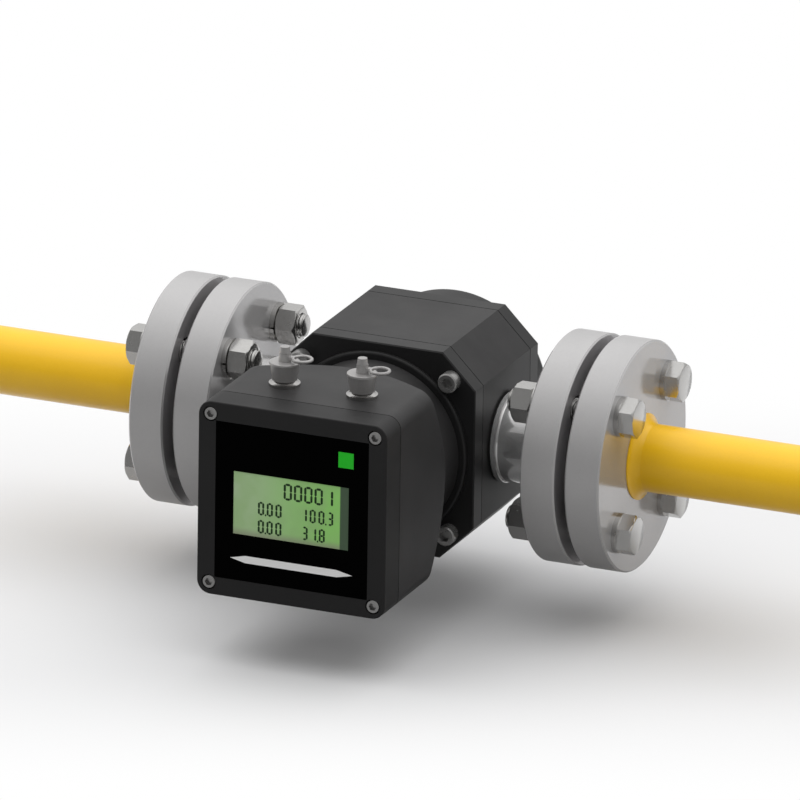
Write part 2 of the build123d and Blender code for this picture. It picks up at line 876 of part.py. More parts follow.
# One tooth on the local X axis: involute flanks, straight below the base circle
def gear_tooth(steps=5):
    half_pitch_angle = pi / (2 * gear_teeth) - gear_backlash / (2 * pitch_r)
    root = half_pitch_angle + involute_angle(pitch_r)
    flank = []
    for step in range(steps + 1):
        radius = gear_base_r + (gear_tip_r - gear_base_r) * step / steps
        flank.append((radius, root - involute_angle(radius)))
    upper = [(radius * cos(angle), radius * sin(angle)) for radius, angle in flank]
    lower = [(x, -y) for x, y in upper]
    foot = gear_root_r * 0.97
    with BuildSketch() as tooth:
        with BuildLine():
            Spline(*upper)
            ThreePointArc(upper[-1], (gear_tip_r, 0), lower[-1])
            Spline(*lower)
            Polyline(
                lower[0],
                (foot * cos(root), -foot * sin(root)),
                (foot * cos(root), foot * sin(root)),
                upper[0],
            )
        make_face()
    return tooth.sketch


# Timing gears keep the rotors in phase: a gap of the upper meets a tooth of the lower
tooth = gear_tooth()
gear_turns = {"upper": -90 + 180 / gear_teeth, "lower": 90}
gear_nut = hexagon_nut(journal_d, gear_nut_across_flats, gear_nut_h)
for name, z in rotor_offsets.items():
    with BuildPart() as timing_gear:
        with BuildSketch(facing_back(gear_front, z=z)):
            Circle(gear_root_r)
            with PolarLocations(0, gear_teeth, start_angle=gear_turns[name]):
                add(tooth)
        extrude(amount=gear_w)
        with BuildSketch(facing_back(plate_out, z=z)):
            Circle(gear_hub_d / 2)
        extrude(amount=gear_hub_len)
        with BuildSketch(facing_back(plate_out, z=z)):
            Circle(journal_d / 2 + screw_fit)
        extrude(amount=gear_hub_len + gear_w, mode=Mode.SUBTRACT)
    timing_gear.part.label = f"{name}_timing_gear"
    export_step(timing_gear.part, f"parts/{name}_timing_gear.step")
    with BuildPart() as nut:
        with Locations(facing_back(gear_back, z=z)):
            add(gear_nut)
    nut.part.label = f"{name}_gear_nut"
    export_step(nut.part, f"parts/{name}_gear_nut.step")

# Rear cover: a round cup over the timing gears with its screws sunk in the end
case_slot_w = 2 * (gear_tip_r + gear_case_clearance)
with BuildPart() as rear_cover:
    with BuildSketch(facing_back(cover_seat)):
        Circle(rear_cover_d / 2)
    extrude(amount=rear_cover_depth)
    fillet(round_edges(rear_cover, rear_cover_d).sort_by(Axis.Y)[-1], radius=rear_cover_edge_r)
    with BuildSketch(facing_back(cover_seat)):
        SlotCenterToCenter(rotor_spacing, case_slot_w, rotation=90)
    extrude(amount=rear_cover_depth - rear_cover_end_t, mode=Mode.SUBTRACT)
    with Locations(facing_back(cover_back)):
        with PolarLocations(cover_screw_circle_d / 2, cover_screw_count):
            CounterBoreHole(
                cover_screw_d / 2 + screw_fit,
                cover_screw_head_d / 2 + counterbore_fit,
                cover_screw_sink,
            )
rear_cover.part.label = "rear_cover"
export_step(rear_cover.part, "parts/rear_cover.step")

with BuildPart() as rear_cover_gasket:
    with BuildSketch(facing_back(plate_out)):
        Circle(rear_cover_d / 2 - seam_inset)
        SlotCenterToCenter(rotor_spacing, case_slot_w, rotation=90, mode=Mode.SUBTRACT)
        with PolarLocations(cover_screw_circle_d / 2, cover_screw_count):
            Circle(cover_screw_d / 2 + screw_fit, mode=Mode.SUBTRACT)
    extrude(amount=seam_t)
rear_cover_gasket.part.label = "rear_cover_gasket"
export_step(rear_cover_gasket.part, "parts/rear_cover_gasket.step")

cover_screw_len = rear_cover_depth - cover_screw_sink + seam_t + cover_screw_grip - 1
cover_screw = socket_screw(cover_screw_d, cover_screw_len, cover_screw_head_d, cover_screw_head_h)
with BuildPart() as rear_cover_screws:
    with Locations(facing_back(cover_back - cover_screw_sink)):
        with PolarLocations(cover_screw_circle_d / 2, cover_screw_count):
            add(cover_screw)
rear_cover_screws.part.label = "rear_cover_screws"
export_step(rear_cover_screws.part, "parts/rear_cover_screws.step")

# Front boss: a stepped disc that closes the bearings off and carries the head's spigot
with BuildPart() as front_boss:
    with BuildSketch(turning_section()):
        with BuildLine():
            Polyline(
                (plate_out, boss_cavity_d / 2),
                (plate_out, boss_d / 2),
                (boss_front, boss_d / 2),
                (boss_front, boss_spigot_d / 2),
                (boss_cap_front, boss_spigot_d / 2),
                (boss_cap_front, 0),
                (boss_cap_front - boss_wall, 0),
                (boss_cap_front - boss_wall, boss_cavity_d / 2),
                close=True,
            )
        make_face()
    revolve(axis=turning_axis())
    fillet(round_edges(front_boss, boss_d).sort_by(Axis.Y)[0], radius=boss_edge_r)
    with Locations(facing_front(boss_front)):
        with PolarLocations(boss_screw_circle_d / 2, boss_screw_count):
            CounterSinkHole(
                small_screw_d / 2 + screw_fit,
                small_screw_head_d / 2 + screw_fit,
                depth=boss_h,
                counter_sink_angle=90,
            )
front_boss.part.label = "front_boss"
export_step(front_boss.part, "parts/front_boss.step")

boss_screw = countersunk_screw(small_screw_d, boss_h + small_screw_grip - 1, small_screw_head_d)
with BuildPart() as front_boss_screws:
    with Locations(facing_front(boss_front)):
        with PolarLocations(boss_screw_circle_d / 2, boss_screw_count):
            add(boss_screw)
front_boss_screws.part.label = "front_boss_screws"
export_step(front_boss_screws.part, "parts/front_boss_screws.step")

# Pulse sensor on the boss, opposite the magnet disc
sensor_seat = facing_front(boss_cap_front, x=sensor_x, z=rotor_offsets["upper"])
with BuildPart() as pulse_sensor:
    with BuildSketch(sensor_seat):
        Circle(sensor_flange_d / 2)
    extrude(amount=sensor_flange_t)
    with BuildSketch(sensor_seat):
        Circle(sensor_d / 2)
    extrude(amount=sensor_len)
pulse_sensor.part.label = "pulse_sensor"
export_step(pulse_sensor.part, "parts/pulse_sensor.step")

# Totalizer housing: a square box whose back is turned down to a round swivel barrel
lock_screw_seat = Plane(
    origin=(pipe_reach, -(boss_front + boss_spigot_len / 2), -neck_barrel_d / 2 + lock_screw_sink),
    x_dir=(1, 0, 0),
    z_dir=(0, 0, -1),
)
with BuildPart() as totalizer_housing:
    with BuildSketch(facing_front(shoulder_front)):
        add(head_face)
    extrude(amount=housing_depth)
    with BuildSketch(turning_section()):
        with BuildLine():
            Polyline(
                (shoulder_front, 0),
                (shoulder_front, shoulder_d / 2),
                (housing_front, shoulder_d / 2 + housing_depth),
                (housing_front, 0),
                close=True,
            )
        make_face()
    revolve(axis=turning_axis(), mode=Mode.INTERSECT)
    fillet(round_edges(totalizer_housing, shoulder_d), radius=shoulder_edge_r)
    with BuildSketch(facing_front(boss_front)):
        Circle(neck_barrel_d / 2)
    extrude(amount=neck_barrel_len)
    with BuildSketch(facing_front(boss_front)):
        Circle(boss_spigot_d / 2 + swivel_fit)
    extrude(amount=pocket_floor - boss_front, mode=Mode.SUBTRACT)
    with BuildSketch(facing_front(pocket_floor)):
        add(hollow_face)
    extrude(amount=pocket_depth, mode=Mode.SUBTRACT)
    with Locations(*[on_head_top(x) for x in socket_xs.values()]):
        Hole(socket_thread_d / 2 + screw_fit, depth=head_wall + 1)
    with Locations(facing_front(housing_front)):
        with GridLocations(head_post_spread, head_post_spread, 2, 2):
            Hole(cover_screw_d / 2 + screw_fit, depth=bezel_screw_grip + 1)
    with BuildSketch(lock_screw_seat):
        Circle(cover_screw_d / 2 + screw_fit)
    extrude(amount=-lock_screw_len - 1, mode=Mode.SUBTRACT)
    with BuildSketch(lock_screw_seat):
        Circle(cover_screw_d / 2 + screw_fit)
    extrude(amount=1, mode=Mode.SUBTRACT)
totalizer_housing.part.label = "totalizer_housing"
export_step(totalizer_housing.part, "parts/totalizer_housing.step")

with BuildPart() as head_lock_screw:
    with BuildSketch(lock_screw_seat):
        Circle(cover_screw_d / 2)
    extrude(amount=-lock_screw_len)
    with BuildSketch(lock_screw_seat):
        RegularPolygon(cover_screw_d / 4, 6, major_radius=False)
    extrude(amount=-lock_screw_len / 2, mode=Mode.SUBTRACT)
head_lock_screw.part.label = "head_lock_screw"
export_step(head_lock_screw.part, "parts/head_lock_screw.step")

# Seal in the seam behind the bezel
with BuildPart() as bezel_gasket:
    with BuildSketch(facing_front(housing_front)):
        add(head_seam_face)
        add(hollow_face, mode=Mode.SUBTRACT)
        with GridLocations(head_post_spread, head_post_spread, 2, 2):
            Circle(cover_screw_d / 2 + screw_fit, mode=Mode.SUBTRACT)
    extrude(amount=seam_t)
bezel_gasket.part.label = "bezel_gasket"
export_step(bezel_gasket.part, "parts/bezel_gasket.step")

# Front bezel: a deep square cover with a recess for the panel and an opening for the glass
glass_back_w = window_w + 2 * glass_margin
glass_back_h = window_h + 2 * glass_margin
with BuildPart() as front_bezel:
    with BuildSketch(facing_front(bezel_back)):
        add(head_face)
    extrude(amount=bezel_depth)
    fillet(front_bezel.faces().sort_by(Axis.Y)[0].edges(), radius=bezel_edge_r)
    with BuildSketch(facing_front(bezel_back)):
        add(hollow_face)
    extrude(amount=bezel_depth - bezel_wall, mode=Mode.SUBTRACT)
    with BuildSketch(facing_front(panel_back)):
        Rectangle(panel_w + 2 * panel_fit, panel_w + 2 * panel_fit)
    extrude(amount=panel_t, mode=Mode.SUBTRACT)
    with BuildSketch(facing_front(bezel_wall_back, x=window_x, z=window_z)):
        Rectangle(glass_back_w + 2 * panel_fit, glass_back_h + 2 * panel_fit)
    extrude(amount=bezel_wall, mode=Mode.SUBTRACT)
    with Locations(facing_front(head_front)):
        with GridLocations(head_post_spread, head_post_spread, 2, 2):
            CounterBoreHole(cover_screw_d / 2 + screw_fit, bezel_screw_bore_d / 2, bezel_screw_sink)
front_bezel.part.label = "front_bezel"
export_step(front_bezel.part, "parts/front_bezel.step")

bezel_screw_len = bezel_depth - bezel_screw_sink + seam_t + bezel_screw_grip
bezel_screw = socket_screw(cover_screw_d, bezel_screw_len, bezel_screw_head_d, cover_screw_head_h)
with BuildPart() as bezel_screws:
    with Locations(facing_front(head_front - bezel_screw_sink)):
        with GridLocations(head_post_spread, head_post_spread, 2, 2):
            add(bezel_screw)
bezel_screws.part.label = "bezel_screws"
export_step(bezel_screws.part, "parts/bezel_screws.step")

# Display: black panel with a window, stepped glass behind it, and its circuit board
with BuildPart() as display_panel:
    with BuildSketch(facing_front(panel_back)):
        Rectangle(panel_w, panel_w)
        with Locations((window_x, window_z)):
            Rectangle(window_w + 2 * panel_fit, window_h + 2 * panel_fit, mode=Mode.SUBTRACT)
    extrude(amount=panel_t)
display_panel.part.label = "display_panel"
export_step(display_panel.part, "parts/display_panel.step")

with BuildPart() as lcd_glass:
    with BuildSketch(facing_front(glass_back, x=window_x, z=window_z)):
        Rectangle(glass_back_w, glass_back_h)
    extrude(amount=glass_back_t)
    with BuildSketch(facing_front(panel_back, x=window_x, z=window_z)):
        Rectangle(window_w, window_h)
    extrude(amount=panel_t - glass_recess)
lcd_glass.part.label = "lcd_glass"
export_step(lcd_glass.part, "parts/lcd_glass.step")

with BuildPart() as lcd_board:
    with BuildSketch(facing_front(glass_back - board_t, x=window_x, z=window_z)):
        Rectangle(glass_back_w + display_board_margin, glass_back_h + display_board_margin)
    extrude(amount=board_t)
lcd_board.part.label = "lcd_board"
export_step(lcd_board.part, "parts/lcd_board.step")

# Main board on hexagon standoffs from the ledge round the barrel's bore
with BuildPart() as main_board:
    with BuildSketch(facing_front(main_board_back)):
        Rectangle(main_board_w, main_board_w)
    extrude(amount=board_t)
main_board.part.label = "main_board"
export_step(main_board.part, "parts/main_board.step")

with BuildPart() as board_standoffs:
    with BuildSketch(facing_front(pocket_floor)):
        with GridLocations(standoff_spread, standoff_spread, 2, 2):
            RegularPolygon(standoff_across_flats / 2, 6, major_radius=False)
    extrude(amount=main_board_back - pocket_floor)
board_standoffs.part.label = "board_standoffs"
export_step(board_standoffs.part, "parts/board_standoffs.step")

# Battery and the spring clip that holds it to the back of the board
with BuildPart() as battery:
    with BuildSketch(station(-battery_len / 2)):
        with Locations((-battery_row, battery_z)):
            Circle(battery_d / 2)
    extrude(amount=battery_len)
    chamfer(round_edges(battery, battery_d), length=0.6)
battery.part.label = "battery"
export_step(battery.part, "parts/battery.step")

with BuildPart() as battery_clip:
    with BuildSketch(station(-battery_clip_len / 2)):
        with Locations((-battery_row, battery_z)):
            Circle(battery_d / 2 + battery_clip_t)
            Circle(battery_d / 2 + screw_fit, mode=Mode.SUBTRACT)
            with Locations((battery_d * 0.7, 0)):
                Rectangle(battery_d, battery_d + 3 * battery_clip_t, mode=Mode.SUBTRACT)
        with Locations((battery_clip_t / 2 - main_board_back, battery_z)):
            Rectangle(battery_clip_t, battery_clip_foot)
        with Locations((-battery_row, battery_z)):
            Circle(battery_d / 2 + screw_fit, mode=Mode.SUBTRACT)
    extrude(amount=battery_clip_len)
battery_clip.part.label = "battery_clip"
export_step(battery_clip.part, "parts/battery_clip.step")

# Cable sockets: threaded through the housing, flared foot, cupped barrel
with BuildPart() as cable_sockets:
    for x in socket_xs.values():
        with BuildSketch(Plane(origin=on_head_top(x).origin, x_dir=(1, 0, 0), z_dir=(0, -1, 0))):
            with BuildLine():
                Polyline(
                    (socket_barrel_d / 2, socket_foot),
                    (socket_barrel_d / 2, socket_barrel_h),
                    (socket_cup_d / 2, socket_barrel_h),
                    (socket_cup_d / 2, socket_floor),
                    (0, socket_floor),
                    (0, -socket_thread_len),
                    (socket_thread_d / 2, -socket_thread_len),
                    (socket_thread_d / 2, 0),
                    (socket_base_d / 2, 0),
                    (socket_base_d / 2, socket_base_h),
                )
                ThreePointArc(
                    (socket_base_d / 2, socket_base_h),
                    (socket_barrel_d / 2 + 0.9, socket_base_h + socket_flare_h * 0.4),
                    (socket_barrel_d / 2, socket_foot),
                )
            make_face()
        revolve(axis=Axis(on_head_top(x).origin, (0, 0, 1)))
cable_sockets.part.label = "cable_sockets"
export_step(cable_sockets.part, "parts/cable_sockets.step")

with BuildPart() as socket_inserts:
    for x in socket_xs.values():
        with BuildSketch(on_head_top(x, socket_floor)):
            Circle(socket_cup_d / 2 - screw_fit)
        extrude(amount=insert_t)
        with BuildSketch(on_head_top(x, socket_floor + insert_t)):
            with PolarLocations(contact_circle_d / 2, contact_count, start_angle=45):
                Circle(contact_d / 2)
        extrude(amount=contact_len)
socket_inserts.part.label = "socket_inserts"
export_step(socket_inserts.part, "parts/socket_inserts.step")

socket_nut = hexagon_nut(socket_thread_d, socket_nut_across_flats, socket_nut_h)
with BuildPart() as socket_nuts:
    with Locations(*[on_head_top(x, -head_wall - socket_nut_h) for x in socket_xs.values()]):
        add(socket_nut)
socket_nuts.part.label = "socket_nuts"
export_step(socket_nuts.part, "parts/socket_nuts.step")

# Dust caps: a tapered skirt over the barrel, a rim, and a headed stem for the eyelet
for name, x in socket_xs.items():
    with BuildPart() as dust_cap:
        with BuildSketch(Plane(origin=on_head_top(x).origin, x_dir=(1, 0, 0), z_dir=(0, -1, 0))):
            with BuildLine():
                Polyline(
                    (socket_barrel_d / 2 + cap_fit, socket_foot + cap_gap),
                    (cap_waist_d / 2, socket_foot + cap_gap),
                    (cap_skirt_d / 2, cap_top - cap_rim_t),
                    (cap_rim_d / 2, cap_top - cap_rim_t),
                    (cap_rim_d / 2, cap_top),
                    (stem_d / 2, cap_top),
                    (stem_d / 2, cap_top + eyelet_sleeve_h + cap_gap),
                    (stem_head_d / 2, cap_top + eyelet_sleeve_h + cap_gap),
                    (stem_top_d / 2, cap_top + stem_h),
                    (0, cap_top + stem_h),
                    (0, socket_barrel_h),
                    (socket_barrel_d / 2 + cap_fit, socket_barrel_h),
                    close=True,
                )
            make_face()
        revolve(axis=Axis(on_head_top(x).origin, (0, 0, 1)))
        fillet(round_edges(dust_cap, cap_rim_d).sort_by(Axis.Z)[-1], radius=cap_rim_t / 3)
    dust_cap.part.label = f"{name}_dust_cap"
    export_step(dust_cap.part, f"parts/{name}_dust_cap.step")

# Eyelets that swivel on the stems, for the lanyard of each cap
ring_centre = eyelet_reach - eyelet_ring_d / 2
for name, x in socket_xs.items():
    with BuildPart() as eyelet:
        with BuildSketch(on_head_top(x, cap_top)):
            Circle(eyelet_sleeve_d / 2)
        extrude(amount=eyelet_sleeve_h, taper=3)
        with Locations(on_head_top(x, cap_top + eyelet_sleeve_h / 2)):
            with Locations((ring_centre, 0)):
                Torus((eyelet_ring_d - eyelet_wire_d) / 2, eyelet_wire_d / 2)
        with BuildSketch(on_head_top(x, cap_top + (eyelet_sleeve_h - eyelet_lug_t) / 2)):
            with Locations(((ring_centre - eyelet_ring_d / 2 + eyelet_wire_d) / 2, 0)):
                Rectangle(ring_centre - eyelet_ring_d / 2 + eyelet_wire_d, eyelet_lug_w)
        extrude(amount=eyelet_lug_t)
        with BuildSketch(on_head_top(x, cap_top)):
            Circle(stem_d / 2 + cap_fit)
        extrude(amount=eyelet_sleeve_h, mode=Mode.SUBTRACT)
    eyelet.part.label = f"{name}_cap_eyelet"
    export_step(eyelet.part, f"parts/{name}_cap_eyelet.step")
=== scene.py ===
"""Looks of a rotary gas meter that hangs between two flanged yellow pipes.

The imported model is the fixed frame. Each sub-assembly below is a class that dresses its
nodes with procedural finishes and adds the fine pieces the frame leaves out: threaded
bolts, chamfered nuts, digits of the display and the print on its panel. Units are metres.
"""

from __future__ import annotations

import json
import logging
import math
from dataclasses import dataclass, field
from enum import Enum
from typing import Any, Callable, Iterator, Sequence

import bmesh
import bpy
from mathutils import Matrix, Vector

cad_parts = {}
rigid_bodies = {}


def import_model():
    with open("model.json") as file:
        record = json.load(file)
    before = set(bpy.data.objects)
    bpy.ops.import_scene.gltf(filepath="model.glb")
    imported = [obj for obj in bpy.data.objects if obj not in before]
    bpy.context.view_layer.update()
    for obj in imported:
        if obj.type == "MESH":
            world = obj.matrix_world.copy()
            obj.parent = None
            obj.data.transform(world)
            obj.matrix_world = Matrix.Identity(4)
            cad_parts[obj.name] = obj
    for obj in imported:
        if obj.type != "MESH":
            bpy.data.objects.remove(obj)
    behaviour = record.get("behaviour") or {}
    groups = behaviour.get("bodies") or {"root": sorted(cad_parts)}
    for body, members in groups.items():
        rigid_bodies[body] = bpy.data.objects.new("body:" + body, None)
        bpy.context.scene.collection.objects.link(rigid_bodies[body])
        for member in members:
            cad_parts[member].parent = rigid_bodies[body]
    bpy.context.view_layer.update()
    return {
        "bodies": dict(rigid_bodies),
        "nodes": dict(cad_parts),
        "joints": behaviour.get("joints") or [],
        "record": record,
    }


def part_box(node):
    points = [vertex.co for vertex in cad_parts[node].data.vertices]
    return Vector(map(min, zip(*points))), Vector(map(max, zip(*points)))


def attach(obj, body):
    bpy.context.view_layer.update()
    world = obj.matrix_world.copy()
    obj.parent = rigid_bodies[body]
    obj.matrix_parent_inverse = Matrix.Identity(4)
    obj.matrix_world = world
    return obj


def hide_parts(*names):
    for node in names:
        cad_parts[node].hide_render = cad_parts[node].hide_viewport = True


LOG = logging.getLogger("meter")
MM = 0.001
Colour = tuple[float, float, float]
Point = tuple[float, float, float]
Span = tuple[float, float]
Outline = Sequence[tuple[float, float]]
Ring = list[Vector]
Shape = bmesh.types.BMesh
Sockets = dict[str, Any]
Radius = Callable[[float], float]
Profile = list[tuple[float, Radius]]
WHITE = (1.0, 1.0, 1.0)


class Slot(Enum):
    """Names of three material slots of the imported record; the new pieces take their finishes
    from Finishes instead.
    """

    ZINC = "zinc_steel"
    GLASS = "display_glass"
    PANEL = "panel_plastic"


class Along(Enum):
    """Axis that a turned piece was turned about."""

    X = "X"
    Y = "Y"
    Z = "Z"


@dataclass
class NodeSheet:
    """A node tree with short ways to add and feed nodes."""

    tree: bpy.types.NodeTree

    @classmethod
    def of(cls, owner: bpy.types.Material | bpy.types.World) -> NodeSheet:
        """Return the emptied node sheet of a material or world."""
        owner.use_nodes = True
        owner.node_tree.nodes.clear()
        return cls(owner.node_tree)

    def add(self, kind: str, **settings: Any) -> bpy.types.Node:
        """Add a node.

        Args:
            kind: Blender's type name without the ShaderNode prefix.
            **settings: Properties to set on the node.

        Returns:
            The new node.
        """
        prefix = "" if kind.startswith("Node") else "ShaderNode"
        node = self.tree.nodes.new(prefix + kind)
        for name, value in settings.items():
            setattr(node, name, value)
        return node

    def feed(self, socket: Any, value: Any) -> None:
        """Give an input socket a number, a colour or the output of another node."""
        if isinstance(value, bpy.types.NodeSocket):
            self.tree.links.new(value, socket)
        elif isinstance(value, tuple):
            socket.default_value = (*value, 1.0)
        else:
            socket.default_value = value

    def fill(self, node: bpy.types.Node, **values: Any) -> bpy.types.Node:
        """Feed the inputs of a node.

        Args:
            node: The node.
            **values: What its inputs take, by their names with _ for a space.

        Returns:
            The same node.
        """
        for label, value in values.items():
            self.feed(node.inputs[label.replace("_", " ")], value)
        return node

    def math(self, operation: str, first: Any, second: Any = 0.0, clamp: bool = False) -> Any:
        """Add a Math node.

        Args:
            operation: The Math node's operation.
            first: A socket or a number.
            second: A socket or a number.
            clamp: Whether the result is kept between 0 and 1.

        Returns:
            The output socket.
        """
        node = self.add("Math", operation=operation, use_clamp=clamp)
        self.feed(node.inputs[0], first)
        self.feed(node.inputs[1], second)
        return node.outputs[0]

    def plus(self, first: Any, second: Any, clamp: bool = False) -> Any:
        """Return the sum of two sockets or numbers."""
        return self.math("ADD", first, second, clamp)

    def times(self, first: Any, second: Any, clamp: bool = False) -> Any:
        """Return the product of two sockets or numbers."""
        return self.math("MULTIPLY", first, second, clamp)

    def split(self, vector: Any) -> Any:
        """Return the X, Y and Z sockets of a vector."""
        return self.fill(self.add("SeparateXYZ"), Vector=vector).outputs

    def span(
        self, value: Any, low: float, high: float, to_low: Any = 0.0, to_high: Any = 1.0
    ) -> Any:
        """Add a clamped Map Range from low..high to to_low..to_high and return its output."""
        node = self.add("MapRange", interpolation_type="SMOOTHSTEP")
        self.fill(node, Value=value, From_Min=low, From_Max=high, To_Min=to_low, To_Max=to_high)
        return node.outputs["Result"]

    def mix(self, share: Any, first: Any, second: Any) -> Any:
        """Add a colour mix.

        Args:
            share: Socket or number, 0 gives the first colour and 1 the second.
            first: Colour or socket.
            second: Colour or socket.

        Returns:
            The colour output socket.
        """
        node = self.add("Mix", data_type="RGBA")
        for index, value in ((0, share), (6, first), (7, second)):
            self.feed(node.inputs[index], value)
        return node.outputs[2]

    def blend(self, share: Any, first: Any, second: Any) -> Any:
        """Return a value between two sockets or numbers, at a share from 0 to 1."""
        node = self.add("Mix", data_type="FLOAT")
        for index, value in ((0, share), (2, first), (3, second)):
            self.feed(node.inputs[index], value)
        return node.outputs[0]

    def noise(
        self, vector: Any, scale: Any, detail: float = 3.0, roughness: float = 0.5
    ) -> Any:
        """Add a noise texture on a vector and return its value socket."""
        node = self.add("TexNoise")
        self.fill(node, Vector=vector, Scale=scale, Detail=detail, Roughness=roughness)
        return node.outputs["Fac"]


@dataclass
class EffectGroup:
    """A shader node group that several finishes share.

    Inputs and outputs are given by name with their usual value: a tuple for a colour, a
    number for a value and nothing for a vector.
    """

    name: str
    draw: Callable[[NodeSheet, Sockets], Sockets]
    inputs: dict[str, Any]
    outputs: dict[str, Any]
    tree: bpy.types.NodeTree | None = field(default=None, repr=False)

    def build(self) -> bpy.types.NodeTree:
        """Build the group the first time and return its tree."""
        if self.tree is not None:
            return self.tree
        self.tree = bpy.data.node_groups.new(self.name, "ShaderNodeTree")
        sheet = NodeSheet(self.tree)
        for in_out, labels in (("INPUT", self.inputs), ("OUTPUT", self.outputs)):
            for label, usual in labels.items():
                kind = {tuple: "Color", float: "Float"}.get(type(usual), "Vector")
                socket = self.tree.interface.new_socket(
                    label, in_out=in_out, socket_type="NodeSocket" + kind
                )
                if usual is not None:
                    sheet.feed(socket, usual)
        entry, leave = sheet.add("NodeGroupInput"), sheet.add("NodeGroupOutput")
        given = {socket.name: socket for socket in entry.outputs if socket.name}
        for label, socket in self.draw(sheet, given).items():
            sheet.feed(leave.inputs[label], socket)
        return self.tree

    def place(self, sheet: NodeSheet, **values: Any) -> Sockets:
        """Place the group in a material with some inputs fed and return its outputs by name."""
        node = sheet.fill(sheet.add("Group", node_tree=self.build()), **values)
        return {socket.name: socket for socket in node.outputs}


@dataclass(frozen=True)
class EffectScale:
    """Spacing per metre and contrast of the patterns that the shared effects draw."""

    patches: float = 22.0
    patch_range: Span = (0.32, 0.7)
    speck_range: Span = (0.35, 0.75)
    speck_share: float = 0.5
    dust_clouds: float = 60.0
    dust_range: Span = (0.35, 0.8)
    dust_slope: Span = (0.2, 1.0)
    ring_gloss: float = 0.3
    zinc_clouds: float = 130.0
    zinc_range: Span = (0.3, 0.75)
    zinc_spots: float = 900.0
    spot_range: Span = (0.6, 0.72)
    spot_share: float = 0.4
    zinc_dulling: float = 0.22


SCALE = EffectScale()


def draw_surface_grain(sheet: NodeSheet, given: Sockets) -> Sockets:
    """Fine grain of a sprayed or cast skin with slow patches of tone and gloss.

    Args:
        sheet: Sheet of the group's tree.
        given: Input sockets by name.

    Returns:
        Colour, roughness and height sockets by name.
    """
    fine = sheet.noise(given["Vector"], given["Grain per metre"], detail=2.0)
    patches = sheet.noise(given["Vector"], SCALE.patches, detail=4.0, roughness=0.6)
    share = sheet.times(sheet.span(patches, *SCALE.patch_range), given["Variation"])
    faint = sheet.times(given["Variation"], SCALE.speck_share)
    speck = sheet.times(sheet.span(fine, *SCALE.speck_range), faint)
    colour = sheet.mix(sheet.plus(share, speck, clamp=True), given["Colour"], given["Shade"])
    wander = sheet.times(sheet.math("SUBTRACT", patches, 0.5), given["Roughness spread"])
    roughness = sheet.plus(given["Roughness"], wander, clamp=True)
    return {"Colour": colour, "Roughness": roughness, "Height": fine}


def draw_settled_dust(sheet: NodeSheet, given: Sockets) -> Sockets:
    """Thin dust that settles in patches on faces that look up.

    Args:
        sheet: Sheet of the group's tree.
        given: Input sockets by name.

    Returns:
        Colour and mask sockets by name.
    """
    facing = sheet.split(sheet.add("NewGeometry").outputs["Normal"])
    upward = sheet.span(facing["Z"], *SCALE.dust_slope)
    clouds = sheet.noise(given["Vector"], SCALE.dust_clouds, detail=6.0, roughness=0.7)
    cloud = sheet.span(clouds, *SCALE.dust_range)
    mask = sheet.times(sheet.times(upward, cloud), given["Amount"], clamp=True)
    return {"Colour": sheet.mix(mask, given["Colour"], given["Dust"]), "Mask": mask}


def draw_tool_marks(sheet: NodeSheet, given: Sockets) -> Sockets:
    """Fine rings that a lathe tool leaves, spaced along the distance it travels.

    Args:
        sheet: Sheet of the group's tree.
        given: Input sockets by name.

    Returns:
        Colour, roughness and height sockets by name.
    """
    travel = sheet.fill(sheet.add("CombineXYZ"), X=given["Travel"])
    rings = sheet.noise(travel.outputs[0], given["Marks per metre"], detail=3.0, roughness=0.7)
    tone = sheet.times(rings, given["Contrast"])
    colour = sheet.mix(tone, given["Colour"], given["Shade"])
    spread = sheet.times(sheet.math("SUBTRACT", rings, 0.5), given["Contrast"])
    dull = sheet.times(spread, SCALE.ring_gloss)
    roughness = sheet.plus(given["Roughness"], dull, clamp=True)
    return {"Colour": colour, "Roughness": roughness, "Height": rings}


def draw_zinc_bloom(sheet: NodeSheet, given: Sockets) -> Sockets:
    """Cloudy tone and small dull spots of bright zinc plating.

    Args:
        sheet: Sheet of the group's tree.
        given: Input sockets by name.

    Returns:
        Colour, roughness and height sockets by name.
    """
    cloud = sheet.noise(given["Vector"], SCALE.zinc_clouds, detail=5.0, roughness=0.65)
    grains = sheet.noise(given["Vector"], SCALE.zinc_spots, detail=2.0)
    spots = sheet.span(grains, *SCALE.spot_range)
    share = sheet.times(sheet.span(cloud, *SCALE.zinc_range), given["Bloom"])
    colour = sheet.mix(share, given["Colour"], given["Shade"])
    cover = sheet.plus(share, sheet.times(spots, SCALE.spot_share))
    dull = sheet.times(cover, SCALE.zinc_dulling)
    roughness = sheet.plus(given["Roughness"], dull, clamp=True)
    return {"Colour": colour, "Roughness": roughness, "Height": sheet.plus(cloud, spots)}


SKIN = {"Colour": WHITE, "Roughness": 0.0, "Height": 0.0}
SURFACE_GRAIN = EffectGroup(
    "surface_grain",
    draw_surface_grain,
    {
        "Vector": None, "Colour": WHITE, "Shade": WHITE, "Grain per metre": 1200.0,
        "Variation": 0.5, "Roughness": 0.4, "Roughness spread": 0.1,
    },
    SKIN,
)
SETTLED_DUST = EffectGroup(
    "settled_dust",
    draw_settled_dust,
    {"Vector": None, "Colour": WHITE, "Dust": WHITE, "Amount": 0.1},
    {"Colour": WHITE, "Mask": 0.0},
)
TOOL_MARKS = EffectGroup(
    "tool_marks",
    draw_tool_marks,
    {
        "Travel": 0.0, "Colour": WHITE, "Shade": WHITE, "Marks per metre": 1500.0,
        "Contrast": 0.5, "Roughness": 0.2,
    },
    SKIN,
)
ZINC_BLOOM = EffectGroup(
    "zinc_bloom",
    draw_zinc_bloom,
    {"Vector": None, "Colour": WHITE, "Shade": WHITE, "Bloom": 0.6, "Roughness": 0.2},
    SKIN,
)


